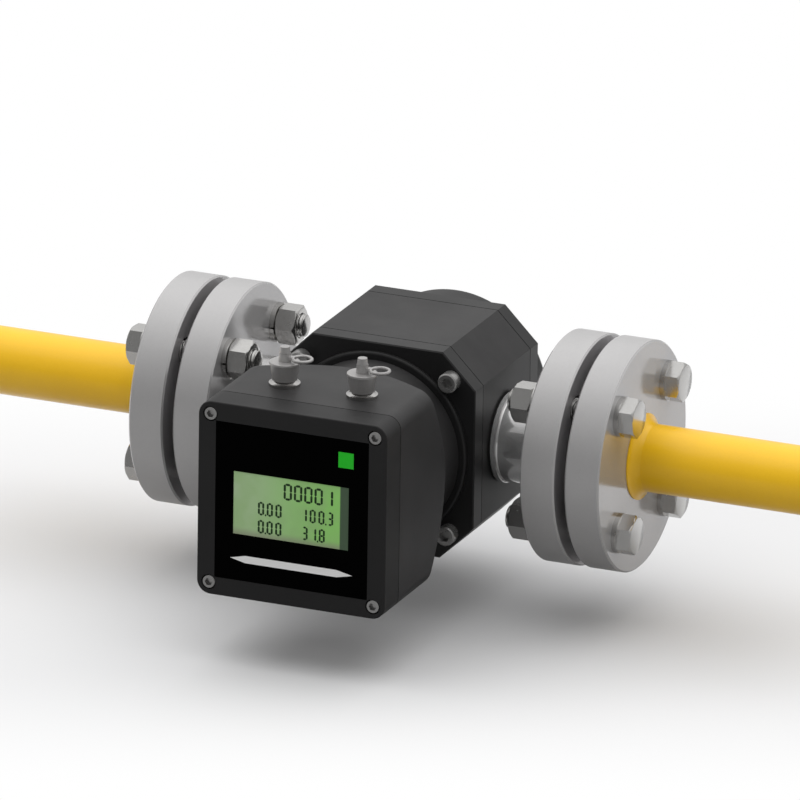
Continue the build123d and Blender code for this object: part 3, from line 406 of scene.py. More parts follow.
@dataclass(frozen=True)
class Finish:
    """A finish of one material: colours, gloss and the relief of its skin."""

    name: str
    colour: Colour
    shade: Colour
    roughness: float = 0.4
    metallic: float = 0.0
    specular: float = 0.5
    bump: float = 0.1
    bump_depth: float = 0.05 * MM

    def skin(self, sheet: NodeSheet, place: Any) -> Sockets:
        """Draw the skin.

        Args:
            sheet: The material's node sheet.
            place: Socket of the place on the object.

        Returns:
            Colour, roughness and height sockets by name.
        """
        raise NotImplementedError

    def draw(self, group: EffectGroup, sheet: NodeSheet, **values: Any) -> Sockets:
        """Place a shared effect with this finish's colours and roughness and other inputs."""
        return group.place(
            sheet, Colour=self.colour, Shade=self.shade, Roughness=self.roughness, **values
        )

    def tune(self, sheet: NodeSheet, shader: bpy.types.Node) -> None:
        """Set what only this finish has on the shader."""

    def material(self) -> bpy.types.Material:
        """Build the material once and return it.

        Returns:
            The Blender material of this finish.
        """
        found = bpy.data.materials.get(self.name)
        if found is not None and found.get("meter_finish"):
            return found
        material = bpy.data.materials.new(self.name)
        material["meter_finish"] = True
        sheet = NodeSheet.of(material)
        place = sheet.add("TexCoord").outputs["Object"]
        skin = self.skin(sheet, place)
        relief = sheet.fill(
            sheet.add("Bump"), Strength=self.bump, Distance=self.bump_depth, Height=skin["Height"]
        )
        shader = sheet.fill(
            sheet.add("BsdfPrincipled"),
            Base_Color=skin["Colour"],
            Roughness=skin["Roughness"],
            Metallic=self.metallic,
            Specular_IOR_Level=self.specular,
            Normal=relief.outputs["Normal"],
        )
        self.tune(sheet, shader)
        sheet.fill(sheet.add("OutputMaterial"), Surface=shader.outputs[0])
        return material


@dataclass(frozen=True)
class SprayedPaint(Finish):
    """Sprayed or powder coat with patches of tone, a little dust and its grain per metre."""

    grain: float = 1400.0
    variation: float = 0.4
    spread: float = 0.12
    coat: float = 0.0
    coat_gloss: float = 0.5
    dust: float = 0.0
    dust_colour: Colour = (0.35, 0.34, 0.33)

    def skin(self, sheet: NodeSheet, place: Any) -> Sockets:
        """Return the sockets of the coat with dust laid on it."""
        grain = self.draw(
            SURFACE_GRAIN, sheet, Vector=place, Grain_per_metre=self.grain,
            Variation=self.variation, Roughness_spread=self.spread,
        )
        dust = SETTLED_DUST.place(
            sheet, Vector=place, Colour=grain["Colour"], Dust=self.dust_colour, Amount=self.dust
        )
        roughness = sheet.plus(grain["Roughness"], dust["Mask"], clamp=True)
        return {"Colour": dust["Colour"], "Roughness": roughness, "Height": grain["Height"]}

    def tune(self, sheet: NodeSheet, shader: bpy.types.Node) -> None:
        """Lay the clear coat over the colour."""
        dull = self.roughness * self.coat_gloss
        sheet.fill(shader, Coat_Weight=self.coat, Coat_Roughness=dull)


@dataclass(frozen=True)
class FlangePaint(SprayedPaint):
    """Grey gloss paint of the flanges, with painted shade where two of them face each other."""

    joints: tuple[float, float] = (131.25 * MM, 338.75 * MM)
    # Painted shade: a darker grey laid on the faces inside each joint gap between two flanges.
    joint_shade: Colour = (0.42, 0.41, 0.414)
    half_gap: float = 2.9 * MM
    rim_dulling: float = 0.26
    rim_facing: Span = (0.3, 0.8)

    def skin(self, sheet: NodeSheet, place: Any) -> Sockets:
        """Return the sockets of the coat, duller round the rim, with painted shade in the joints.
        """
        coat = super().skin(sheet, place)
        facing = sheet.split(sheet.add("TexCoord").outputs["Normal"])
        along = sheet.math("ABSOLUTE", facing["X"])
        rim = sheet.span(along, *self.rim_facing, self.rim_dulling, 0.0)
        across = sheet.split(place)["X"]
        # Mask of the joint gaps, where the painted shade goes.
        inside = 0.0
        for joint in self.joints:
            away = sheet.math("ABSOLUTE", sheet.math("SUBTRACT", across, joint))
            near = sheet.math("LESS_THAN", away, self.half_gap)
            inside = sheet.plus(near, inside, clamp=True)
        return {
            "Colour": sheet.mix(inside, coat["Colour"], self.joint_shade),
            "Roughness": sheet.plus(coat["Roughness"], rim, clamp=True),
            "Height": coat["Height"],
        }


@dataclass(frozen=True)
class TurnedMetal(Finish):
    """Metal turned on a lathe about one axis, with the tool's marks per metre."""

    metallic: float = 1.0
    along: Along = Along.Y
    marks: float = 2500.0
    contrast: float = 0.5

    def skin(self, sheet: NodeSheet, place: Any) -> Sockets:
        """Return the sockets of the turned skin."""
        travel = sheet.split(place)[self.along.value]
        return self.draw(
            TOOL_MARKS, sheet, Travel=travel, Marks_per_metre=self.marks, Contrast=self.contrast
        )


@dataclass(frozen=True)
class ZincPlate(Finish):
    """Bright zinc plating of bolts, nuts, washers and screws."""

    metallic: float = 1.0
    bloom: float = 0.3

    def skin(self, sheet: NodeSheet, place: Any) -> Sockets:
        """Return the sockets of the plated skin."""
        return self.draw(ZINC_BLOOM, sheet, Vector=place, Bloom=self.bloom)


@dataclass(frozen=True)
class DisplayGlass(Finish):
    """Reflective liquid crystal display: pale green, lighter to one side, with a faint painted
    glow.
    """

    right_colour: Colour = (0.21, 0.46, 0.12)
    band_colour: Colour = (0.05, 0.08, 0.048)
    foot_colour: Colour = (0.2, 0.21, 0.15)
    painted_glow: float = 0.25
    left_edge: float = 0.2
    right_edge: float = 0.257
    band_start: float = 0.2604
    band_blur: float = 0.3 * MM
    foot_z: float = -0.0164
    foot_h: float = 0.0045
    foot_share: float = 0.75
    clouds_per_metre: float = 70.0
    cloud_range: Span = (0.35, 0.7)
    cloud_share: float = 0.6
    fibres_per_metre: float = 2500.0
    fibre_gloss: float = 0.06

    def skin(self, sheet: NodeSheet, place: Any) -> Sockets:
        """Return the sockets of the display's face."""
        parts = sheet.split(place)
        across = sheet.span(parts["X"], self.left_edge, self.right_edge)
        base = sheet.mix(across, self.colour, self.right_colour)
        clouds = sheet.noise(place, self.clouds_per_metre, detail=2.0)
        cloud = sheet.span(clouds, *self.cloud_range, 0.0, self.cloud_share)
        tinted = sheet.mix(cloud, base, self.shade)
        foot_top = self.foot_z + self.foot_h
        low = sheet.span(parts["Z"], self.foot_z, foot_top, self.foot_share, 0.0)
        greyed = sheet.mix(low, tinted, self.foot_colour)
        start, blur = self.band_start, self.band_blur
        band = sheet.span(parts["X"], start - blur, start + blur)
        fibre = sheet.noise(place, self.fibres_per_metre, detail=2.0)
        return {
            "Colour": sheet.mix(band, greyed, self.band_colour),
            "Roughness": sheet.plus(sheet.times(fibre, self.fibre_gloss), self.roughness),
            "Height": fibre,
        }

    def tune(self, sheet: NodeSheet, shader: bpy.types.Node) -> None:
        """Paint a faint glow in the display's own colour, though the display gives no light of its
        own.
        """
        source = shader.inputs["Base Color"].links[0].from_socket
        # Painted light: emission in the display's own colour, on a display without a backlight.
        sheet.fill(shader, Emission_Color=source, Emission_Strength=self.painted_glow)


class Finishes:
    """The meter's palette."""

    body_paint = SprayedPaint(
        "body_paint", (0.026, 0.0254, 0.0258), (0.0205, 0.02, 0.0203), roughness=0.42,
        specular=0.2, bump=0.18, grain=1500.0, dust=0.04,
    )
    plate_paint = SprayedPaint(
        "plate_paint", (0.014, 0.0138, 0.014), (0.01, 0.0098, 0.01), specular=0.3, bump=0.15,
        grain=1700.0, dust=0.03,
    )
    head_paint = SprayedPaint(
        "head_paint", (0.027, 0.0264, 0.0268), (0.0215, 0.021, 0.0213), roughness=0.44,
        specular=0.22, bump=0.2, grain=1600.0, dust=0.04,
    )
    bezel_paint = SprayedPaint(
        "bezel_paint", (0.019, 0.0187, 0.019), (0.0145, 0.0143, 0.0145), roughness=0.46,
        specular=0.18, bump=0.22, grain=1800.0, dust=0.02,
    )
    flange_paint = FlangePaint(
        "flange_paint", (0.5, 0.493, 0.493), (0.43, 0.424, 0.424), roughness=0.14, metallic=0.45,
        bump=0.03, grain=700.0, variation=0.3, spread=0.05,
    )
    pipe_paint = SprayedPaint(
        "pipe_paint", (0.94, 0.55, 0.01), (0.85, 0.47, 0.008), roughness=0.3, specular=0.4,
        bump=0.06, grain=900.0, variation=0.35, coat=0.2,
    )
    zinc = ZincPlate(
        "zinc_plate", (0.56, 0.553, 0.54), (0.46, 0.453, 0.44), roughness=0.15, metallic=0.95,
        bump=0.02,
    )
    screw_steel = ZincPlate(
        "screw_steel", (0.4, 0.395, 0.39), (0.3, 0.295, 0.29), roughness=0.24, bump=0.08
    )
    # Painted light: a copy of the screw steel with a diffuse share, so that screws sitting in
    # shade look lighter.
    shade_lifted_screw_steel = ZincPlate(
        "shade_lifted_screw_steel", (0.34, 0.336, 0.33), (0.25, 0.246, 0.242), roughness=0.26,
        metallic=0.75, bump=0.05,
    )
    neck_steel = TurnedMetal(
        "neck_steel", (0.97, 0.965, 0.96), (0.8, 0.795, 0.79), roughness=0.11, metallic=0.78,
        bump=0.06, along=Along.X, marks=2600.0,
    )
    shaft_steel = TurnedMetal(
        "shaft_steel", (0.66, 0.65, 0.64), (0.5, 0.49, 0.48), roughness=0.2
    )
    bearing_steel = TurnedMetal(
        "bearing_steel", (0.6, 0.6, 0.61), (0.46, 0.46, 0.47), roughness=0.12, bump=0.05,
        marks=3200.0,
    )
    rotor_metal = TurnedMetal(
        "rotor_metal", (0.74, 0.74, 0.75), (0.62, 0.62, 0.63), roughness=0.3, bump=0.12
    )
    cap_metal = SprayedPaint(
        "cap_metal", (0.46, 0.45, 0.443), (0.34, 0.332, 0.327), roughness=0.36, metallic=0.6,
        bump=0.5, bump_depth=0.08 * MM, grain=2600.0, variation=0.6, spread=0.2,
    )
    socket_plate = TurnedMetal(
        "socket_plate", (0.56, 0.55, 0.54), (0.4, 0.39, 0.38), roughness=0.22, along=Along.Z,
        marks=3000.0,
    )
    gasket_fibre = SprayedPaint(
        "gasket_fibre", (0.06, 0.059, 0.058), (0.03, 0.03, 0.029), roughness=0.8, specular=0.3,
        bump=0.6, grain=2400.0, variation=0.8, dust=0.05,
    )
    seal_rubber = SprayedPaint(
        "seal_rubber", (0.013, 0.013, 0.013), (0.02, 0.02, 0.02), roughness=0.65, specular=0.3,
        bump=0.3, grain=2200.0, dust=0.03,
    )
    panel_face = SprayedPaint(
        "panel_face", (0.0008, 0.0008, 0.0008), (0.0006, 0.0006, 0.0006), specular=0.01, bump=0.03,
        grain=900.0, variation=0.3,
    )
    display = DisplayGlass(
        "display_face", (0.3, 0.4, 0.24), (0.22, 0.36, 0.15), roughness=0.28, specular=0.2,
        bump=0.04,
    )
    segment_ink = SprayedPaint(
        "segment_ink", (0.02, 0.045, 0.018), (0.016, 0.036, 0.014), roughness=0.35, specular=0.1,
        bump=0.03, grain=2500.0,
    )
    white_ink = SprayedPaint(
        "white_ink", (0.84, 0.84, 0.835), (0.76, 0.76, 0.755), specular=0.3, bump=0.08,
        grain=2600.0, variation=0.3,
    )
    green_ink = SprayedPaint(
        "green_ink", (0.025, 0.55, 0.03), (0.02, 0.46, 0.022), specular=0.1, bump=0.08,
        grain=2600.0, variation=0.3,
    )
    circuit_board = SprayedPaint(
        "circuit_board", (0.02, 0.13, 0.045), (0.014, 0.09, 0.03), specular=0.4, bump=0.2,
        grain=900.0, variation=0.8,
    )
    dark_plastic = SprayedPaint(
        "dark_plastic", (0.02, 0.02, 0.021), (0.014, 0.014, 0.015), roughness=0.5, specular=0.4,
        bump=0.25, grain=2000.0,
    )
    sensor_brass = TurnedMetal(
        "sensor_brass", (0.7, 0.52, 0.22), (0.55, 0.4, 0.16), roughness=0.25
    )
    battery_sleeve = SprayedPaint(
        "battery_sleeve", (0.03, 0.1, 0.24), (0.02, 0.075, 0.19), roughness=0.3, grain=500.0
    )


def new_piece(
    name: str, shape: Shape, finish: Finish, smooth_below: float = 40.0
) -> bpy.types.Object:
    """Put a shape in the scene as a dressed piece.

    Args:
        name: Name of the piece.
        shape: Its shape, in the row frame.
        finish: Its finish.
        smooth_below: Edges flatter than this many degrees are shaded smooth.

    Returns:
        The new object.
    """
    mesh = finish_mesh(name, shape)
    piece = bpy.data.objects.new(name, mesh)
    bpy.context.scene.collection.objects.link(piece)
    mesh.materials.append(finish.material())
    mesh.shade_smooth()
    mesh.set_sharp_from_angle(angle=math.radians(smooth_below))
    return piece


def skin_rings(shape: Shape, rings: Sequence[Ring], loop: bool = False) -> None:
    """Skin closed rings of equal length one after another.

    Args:
        shape: The mesh that takes the skin.
        rings: Rings of points, in order.
        loop: Whether the last ring joins the first. Otherwise both ends are capped.
    """
    rows = [[shape.verts.new(point) for point in ring] for ring in rings]
    count = len(rows[0])
    following = rows[1:] + rows[:1] if loop else rows[1:]
    for lower, upper in zip(rows, following):
        for index in range(count):
            after = (index + 1) % count
            shape.faces.new((lower[index], lower[after], upper[after], upper[index]))
    if not loop:
        shape.faces.new(list(reversed(rows[0])))
        shape.faces.new(rows[-1])


def finish_mesh(name: str, shape: Shape) -> bpy.types.Mesh:
    """Turn a bmesh into a mesh with its normals outwards and free the bmesh."""
    bmesh.ops.recalc_face_normals(shape, faces=shape.faces)
    mesh = bpy.data.meshes.new(name)
    shape.to_mesh(mesh)
    shape.free()
    return mesh


def add_plate(shape: Shape, outline: Outline, back: float, front: float) -> None:
    """Add a plate that faces the front, with an outline of x and z, counterclockwise."""
    skin_rings(shape, [[Vector((x, y, z)) for x, z in outline] for y in (back, front)])


@dataclass
class SubAssembly:
    """Nodes of the frame that belong together, and the finish of each."""

    frame: dict[str, Any]

    def finishes(self) -> dict[Finish, str]:
        """Return the names of the nodes that take each finish, with a space between them."""
        return {}

    def dress(self) -> None:
        """Give every node of the sub-assembly its finish."""
        for finish, names in self.finishes().items():
            material = finish.material()
            for name in names.split():
                node = self.frame["nodes"][name]
                for material_slot in node.material_slots:
                    material_slot.material = material
                if not node.material_slots:
                    node.data.materials.append(material)
                LOG.info("%s wears %s", name, finish.name)

    def build(self) -> None:
        """Add the fine pieces of the sub-assembly."""


@dataclass
class PipeRun(SubAssembly):
    """Yellow pipe stubs, flange pairs with their bolting, and the bright necks."""

    middle: float = 235 * MM
    bolt_circle_r: float = 42.5 * MM
    head_seat: float = 127 * MM
    bolt_end: float = 67 * MM
    head_h: float = 7.5 * MM
    across_flats: float = 18 * MM
    crest_r: float = 6 * MM
    thread_depth: float = 0.62 * MM
    thread_root: float = 0.12
    thread_flank: float = 0.76
    point_depth: float = 1.3
    pitch: float = 1.75 * MM
    thread_end: float = 118 * MM
    nut_h: float = 10.8 * MM
    nut_bore_r: float = 6.05 * MM
    bore_mouth: float = 0.5 * MM
    head_turns: tuple[float, float] = (27.0, 0.0)
    nut_turns: tuple[tuple[float, ...], ...] = ((30.0, 10.0, 0.0, 20.0), (10.0, 29.0, 25.0, 0.0))
    face_share: float = 0.95
    chamfer_slope: float = 30.0
    chamfer_steps: int = 4
    around: int = 24
    hex_around: int = 72
    rings_per_pitch: int = 6

    def finishes(self) -> dict[Finish, str]:
        """Return the nodes that take each finish."""
        return {
            Finishes.pipe_paint: "inlet_pipe outlet_pipe",
            Finishes.flange_paint: (
                "inlet_pipe_flange outlet_pipe_flange inlet_meter_flange outlet_meter_flange"
            ),
            Finishes.gasket_fibre: "flange_gaskets",
            Finishes.zinc: "flange_bolts flange_nuts flange_washers",
            Finishes.neck_steel: "inlet_neck outlet_neck",
            Finishes.seal_rubber: "neck_seals",
        }

    def build(self) -> None:
        """Add threaded bolts and chamfered nuts, each turned as the picture shows it."""
        bolts, nuts = bmesh.new(), bmesh.new()
        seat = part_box("flange_nuts")[1].x - self.middle
        shank, head, nut = self.shank_profile(), self.head_profile(), self.nut_profile(seat)
        for side, head_turn, nut_turns in zip((-1, 1), self.head_turns, self.nut_turns):
            for quarter, nut_turn in enumerate(nut_turns):
                angle, reach = math.radians(45 + 90 * quarter), self.bolt_circle_r
                centre = Vector((self.middle, reach * math.cos(angle), reach * math.sin(angle)))
                self.add_turning(bolts, side, centre, shank, self.around)
                self.add_turning(bolts, side, centre, head, self.hex_around, head_turn)
                self.add_turning(nuts, side, centre, nut, self.hex_around, nut_turn, loop=True)
        for name, shape, node in (
            ("threaded_flange_bolts", bolts, "flange_bolts"),
            ("chamfered_flange_nuts", nuts, "flange_nuts"),
        ):
            piece = new_piece(name, shape, Finishes.zinc)
            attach(piece, "meter")
            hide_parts(node)
            LOG.info("%s: %d vertices", piece.name, len(piece.data.vertices))

    def add_turning(
        self, shape: Shape, side: int, centre: Vector, profile: Profile, around: int,
        turn: float = 0.0, loop: bool = False,
    ) -> None:
        """Add one piece that is skinned round a bolt's axis.

        Args:
            shape: The mesh that takes the piece.
            side: -1 for the inlet joint and 1 for the outlet joint.
            centre: Point of the bolt's axis in the middle of the meter.
            profile: Stations from the middle, each with its radius at an angle.
            around: Number of points round the axis.
            turn: Angle that the piece is turned to, in degrees.
            loop: Whether the last station joins the first.
        """
        rings = []
        for station, radius in profile:
            ring = []
            for index in range(around):
                angle = math.tau * index / around
                reach, placed = radius(angle), angle + math.radians(turn)
                offset = (side * station, reach * math.sin(placed), reach * math.cos(placed))
                ring.append(centre + Vector(offset))
            rings.append(ring)
        skin_rings(shape, rings, loop)

    def shank_profile(self) -> Profile:
        """Return the stations of the threaded shank with the radius at each angle."""
        step = self.pitch / self.rings_per_pitch
        length = self.thread_end - self.bolt_end
        point = self.circle(self.crest_r - self.point_depth * self.thread_depth)
        profile = [(self.bolt_end, point)]
        for index in range(1, int(length / step)):
            station = self.bolt_end + index * step
            fade = min(1.0, (self.thread_end - station) / self.pitch)
            point_r = self.crest_r - self.thread_depth + (station - self.bolt_end)
            profile.append((station, self.thread(station, fade, min(self.crest_r, point_r))))
        plain = self.circle(self.crest_r)
        return [*profile, (self.thread_end, plain), (self.head_seat, plain)]

    def thread(self, station: float, fade: float, limit: float) -> Radius:
        """Return the radius of the thread round the shank at one station.

        Args:
            station: Distance of the station from the middle.
            fade: 1 for the full depth of thread and 0 for none.
            limit: Largest radius that the point's lead-in allows.

        Returns:
            The radius as a function of the angle.
        """

        def radius(angle: float) -> float:
            """Return the radius at an angle."""
            phase = (station / self.pitch - angle / math.tau) % 1.0
            flank = abs(phase - 0.5) * 2.0
            share = min(1.0, max(0.0, (flank - self.thread_root) / self.thread_flank))
            return min(limit, self.crest_r - share * self.thread_depth * fade)

        return radius

    def circle(self, size: float) -> Radius:
        """Return the radius of a plain round section."""
        return lambda angle: size

    def hexagon(self, limit: float) -> Radius:
        """Return the radius of the bolting's hexagon, held inside a circle of radius limit."""

        def radius(angle: float) -> float:
            """Return the radius at an angle."""
            turn = (angle + math.pi / 6) % (math.pi / 3) - math.pi / 6
            return min(limit, self.across_flats / 2 / math.cos(math.pi / 6 - abs(turn)))

        return radius

    def chamfer(self) -> Profile:
        """Return the steps of a hexagon's chamfer, from its end face down to the full corners."""
        flat_r = self.across_flats / 2
        face_r, corner_r = self.face_share * flat_r, flat_r / math.cos(math.pi / 6)
        slope = math.tan(math.radians(self.chamfer_slope))
        steps = []
        for index in range(self.chamfer_steps + 1):
            limit = face_r + (corner_r - face_r) * index / self.chamfer_steps
            steps.append(((limit - face_r) * slope, self.hexagon(limit)))
        return steps

    def head_profile(self) -> Profile:
        """Return the stations of the bolt's head with the radius at each angle."""
        top = self.head_seat + self.head_h
        profile = [(top - depth, radius) for depth, radius in reversed(self.chamfer())]
        return [(self.head_seat, profile[0][1]), *profile]

    def nut_profile(self, seat: float) -> Profile:
        """Return the stations round the section of a nut.

        Args:
            seat: Station of the nut's seat on its washer.

        Returns:
            Stations with their radius, over the outside and back through the bore.
        """
        end, steps = seat - self.nut_h, self.chamfer()
        bore, mouth = self.circle(self.nut_bore_r), self.circle(self.nut_bore_r + self.bore_mouth)
        return [
            *((end + depth, radius) for depth, radius in steps),
            *((seat - depth, radius) for depth, radius in reversed(steps)),
            (seat, mouth),
            (seat - self.bore_mouth, bore),
            (end + self.bore_mouth, bore),
            (end, mouth),
        ]


class MeterBody(SubAssembly):
    """Rotor chamber with its end plates, boss and rear cover."""

    def finishes(self) -> dict[Finish, str]:
        """Return the nodes that take each finish."""
        return {
            Finishes.body_paint: "meter_casing",
            Finishes.plate_paint: "front_end_plate rear_end_plate rear_cover front_boss",
            Finishes.seal_rubber: "casing_gaskets rear_cover_gasket",
            # The screws of the plates, boss and cover take the copy of screw steel with painted
            # light.
            Finishes.shade_lifted_screw_steel: (
                "front_plate_screws rear_plate_screws rear_cover_screws front_boss_screws"
            ),
        }


class RotorTrain(SubAssembly):
    """Rotors, shafts, bearings, timing gears and the magnet inside the body."""

    def finishes(self) -> dict[Finish, str]:
        """Return the nodes that take each finish."""
        return {
            Finishes.rotor_metal: "upper_rotor lower_rotor",
            Finishes.shaft_steel: (
                "upper_shaft lower_shaft upper_timing_gear lower_timing_gear upper_gear_nut "
                "lower_gear_nut bearing_retainers"
            ),
            Finishes.bearing_steel: (
                "bearing_outer_rings bearing_balls upper_bearing_inner_rings "
                "lower_bearing_inner_rings"
            ),
            Finishes.screw_steel: "retainer_screws",
            Finishes.dark_plastic: "magnet_disc",
            Finishes.sensor_brass: "pulse_sensor",
        }


LIT_BARS = {
    "0": "abcdef", "1": "bc", "2": "abged", "3": "abgcd", "4": "fgbc",
    "5": "afgcd", "6": "afgedc", "7": "abc", "8": "abcdefg", "9": "abcdfg",
}


@dataclass
class SegmentRow:
    """One number of the display: its text, right edge, foot and size."""

    text: str
    right: float
    foot: float
    digit_w: float
    digit_h: float
    advance: float
    bar: float


@dataclass
class Totalizer(SubAssembly):
    """Square head with its bezel, printed panel, display and electronics."""

    middle: float = 235 * MM
    ink_t: float = 0.06 * MM
    bar_gap: float = 0.18
    point_size: float = 0.8
    point_offset: float = 0.35 * MM
    rows: tuple[SegmentRow, ...] = (
        SegmentRow("00001", 21.7 * MM, 4.6 * MM, 4.4 * MM, 8.6 * MM, 5.4 * MM, 1.15 * MM),
        SegmentRow("0.00", -5.2 * MM, -5.1 * MM, 3.3 * MM, 7.0 * MM, 4.6 * MM, 1.05 * MM),
        SegmentRow("100.3", 21.9 * MM, -5.1 * MM, 3.2 * MM, 7.0 * MM, 4.6 * MM, 1.0 * MM),
        SegmentRow("0.00", -5.2 * MM, -14.4 * MM, 3.3 * MM, 7.0 * MM, 4.6 * MM, 1.05 * MM),
        SegmentRow("31.8", 17.6 * MM, -14.4 * MM, 3.2 * MM, 7.0 * MM, 4.5 * MM, 1.0 * MM),
    )
    stripe_left: float = -31.9 * MM
    stripe_right: float = 32.4 * MM
    stripe_shoulder: float = 24 * MM
    stripe_z: float = -28.9 * MM
    stripe_h: float = 3.7 * MM
    square_x: float = 28.3 * MM
    square_z: float = 29.7 * MM
    square_w: float = 8.0 * MM

    def finishes(self) -> dict[Finish, str]:
        """Return the nodes that take each finish."""
        return {
            Finishes.head_paint: "totalizer_housing",
            Finishes.bezel_paint: "front_bezel",
            Finishes.seal_rubber: "bezel_gasket",
            Finishes.screw_steel: "bezel_screws head_lock_screw board_standoffs battery_clip",
            Finishes.panel_face: "display_panel",
            Finishes.display: "lcd_glass",
            Finishes.circuit_board: "lcd_board main_board",
            Finishes.battery_sleeve: "battery",
        }

    def build(self) -> None:
        """Print the panel and light the digits."""
        self.add_digits()
        self.add_print()

    def add_ink(self, shape: Shape, outline: Outline, face: float) -> None:
        """Add a thin plate of ink on a face, its outline given from the head's middle."""
        placed = [(self.middle + x, z) for x, z in outline]
        add_plate(shape, placed, face + self.ink_t, face - self.ink_t)

    def add_digits(self) -> None:
        """Add the seven-segment digits on the display's face."""
        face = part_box("lcd_glass")[0].y
        shape = bmesh.new()
        for row in self.rows:
            for outline in self.number(row):
                self.add_ink(shape, outline, face)
        digits = new_piece("display_digits", shape, Finishes.segment_ink, 20.0)
        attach(digits, "head")
        LOG.info("%s: %d numbers", digits.name, len(self.rows))

    def number(self, row: SegmentRow) -> Iterator[Outline]:
        """Give the outlines of a number's bars, from its last digit to its first."""
        right = row.right
        for character in reversed(row.text):
            if character == ".":
                dot = self.point_size * row.bar
                yield self.bar(right + self.point_offset, row.foot, dot, dot)
            else:
                yield from self.digit(LIT_BARS[character], right - row.digit_w, row)
                right -= row.advance

    def digit(self, bars: str, left: float, row: SegmentRow) -> Iterator[Outline]:
        """Give the outlines of the lit bars of one digit.

        Args:
            bars: Letters of the lit bars, a to g.
            left: X of the digit's left edge from the middle.
            row: The number it belongs to.

        Yields:
            The outline of each bar.
        """
        width, height, bar = row.digit_w, row.digit_h, row.bar
        gap = self.bar_gap * bar
        tall = height / 2 - bar / 2 - 2 * gap
        wide = width - 2 * bar
        low, high = row.foot + bar / 2 + gap, row.foot + height / 2 + gap
        places = {
            "a": (left + bar, row.foot + height - bar, wide, bar),
            "g": (left + bar, row.foot + height / 2 - bar / 2, wide, bar),
            "d": (left + bar, row.foot, wide, bar),
            "f": (left, high, bar, tall),
            "b": (left + width - bar, high, bar, tall),
            "e": (left, low, bar, tall),
            "c": (left + width - bar, low, bar, tall),
        }
        for name in bars:
            yield self.bar(*places[name])

    def bar(self, x: float, z: float, across: float, up: float) -> Outline:
        """Return the outline of one bar with pointed ends.

        Args:
            x: Left edge from the middle.
            z: Lower edge.
            across: Width.
            up: Height.

        Returns:
            The corners as x and z, counterclockwise.
        """
        half = min(across, up) / 4
        right, top = x + across, z + up
        if across > up:
            middle = z + up / 2
            return [
                (x - half, middle), (x + half, z), (right - half, z),
                (right + half, middle), (right - half, top), (x + half, top),
            ]
        middle = x + across / 2
        return [
            (x, z + half), (middle, z - half), (right, z + half),
            (right, top - half), (middle, top + half), (x, top - half),
        ]

    def add_print(self) -> None:
        """Add the plain green square and the white pointed stripe on the panel."""
        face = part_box("display_panel")[0].y
        half = self.stripe_h / 2
        stripe = [
            (self.stripe_left, self.stripe_z),
            (-self.stripe_shoulder, self.stripe_z - half),
            (self.stripe_shoulder, self.stripe_z - half),
            (self.stripe_right, self.stripe_z),
            (self.stripe_shoulder, self.stripe_z + half),
            (-self.stripe_shoulder, self.stripe_z + half),
        ]
        side = self.square_w / 2
        left, right = self.square_x - side, self.square_x + side
        low, high = self.square_z - side, self.square_z + side
        square = [(left, low), (right, low), (right, high), (left, high)]
        for name, outline, finish in (
            ("panel_stripe", stripe, Finishes.white_ink),
            ("panel_square", square, Finishes.green_ink),
        ):
            shape = bmesh.new()
            self.add_ink(shape, outline, face)
            piece = new_piece(name, shape, finish, 20.0)
            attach(piece, "head")
            LOG.info("%s printed", name)


class CableSockets(SubAssembly):
    """Two round cable sockets on the head with their caps and eyelets."""

    def finishes(self) -> dict[Finish, str]:
        """Return the nodes that take each finish."""
        return {
            Finishes.socket_plate: "cable_sockets socket_nuts",
            Finishes.dark_plastic: "socket_inserts",
            Finishes.cap_metal: "left_dust_cap right_dust_cap left_cap_eyelet right_cap_eyelet",
        }


@dataclass(frozen=True)
class SoftLamp:
    """A round soft lamp: where it hangs, what it shines at, its width and power in watts."""

    name: str
    place: Point
    width: float
    power: float
    aim: Point = (0.235, 0.0, 0.0)


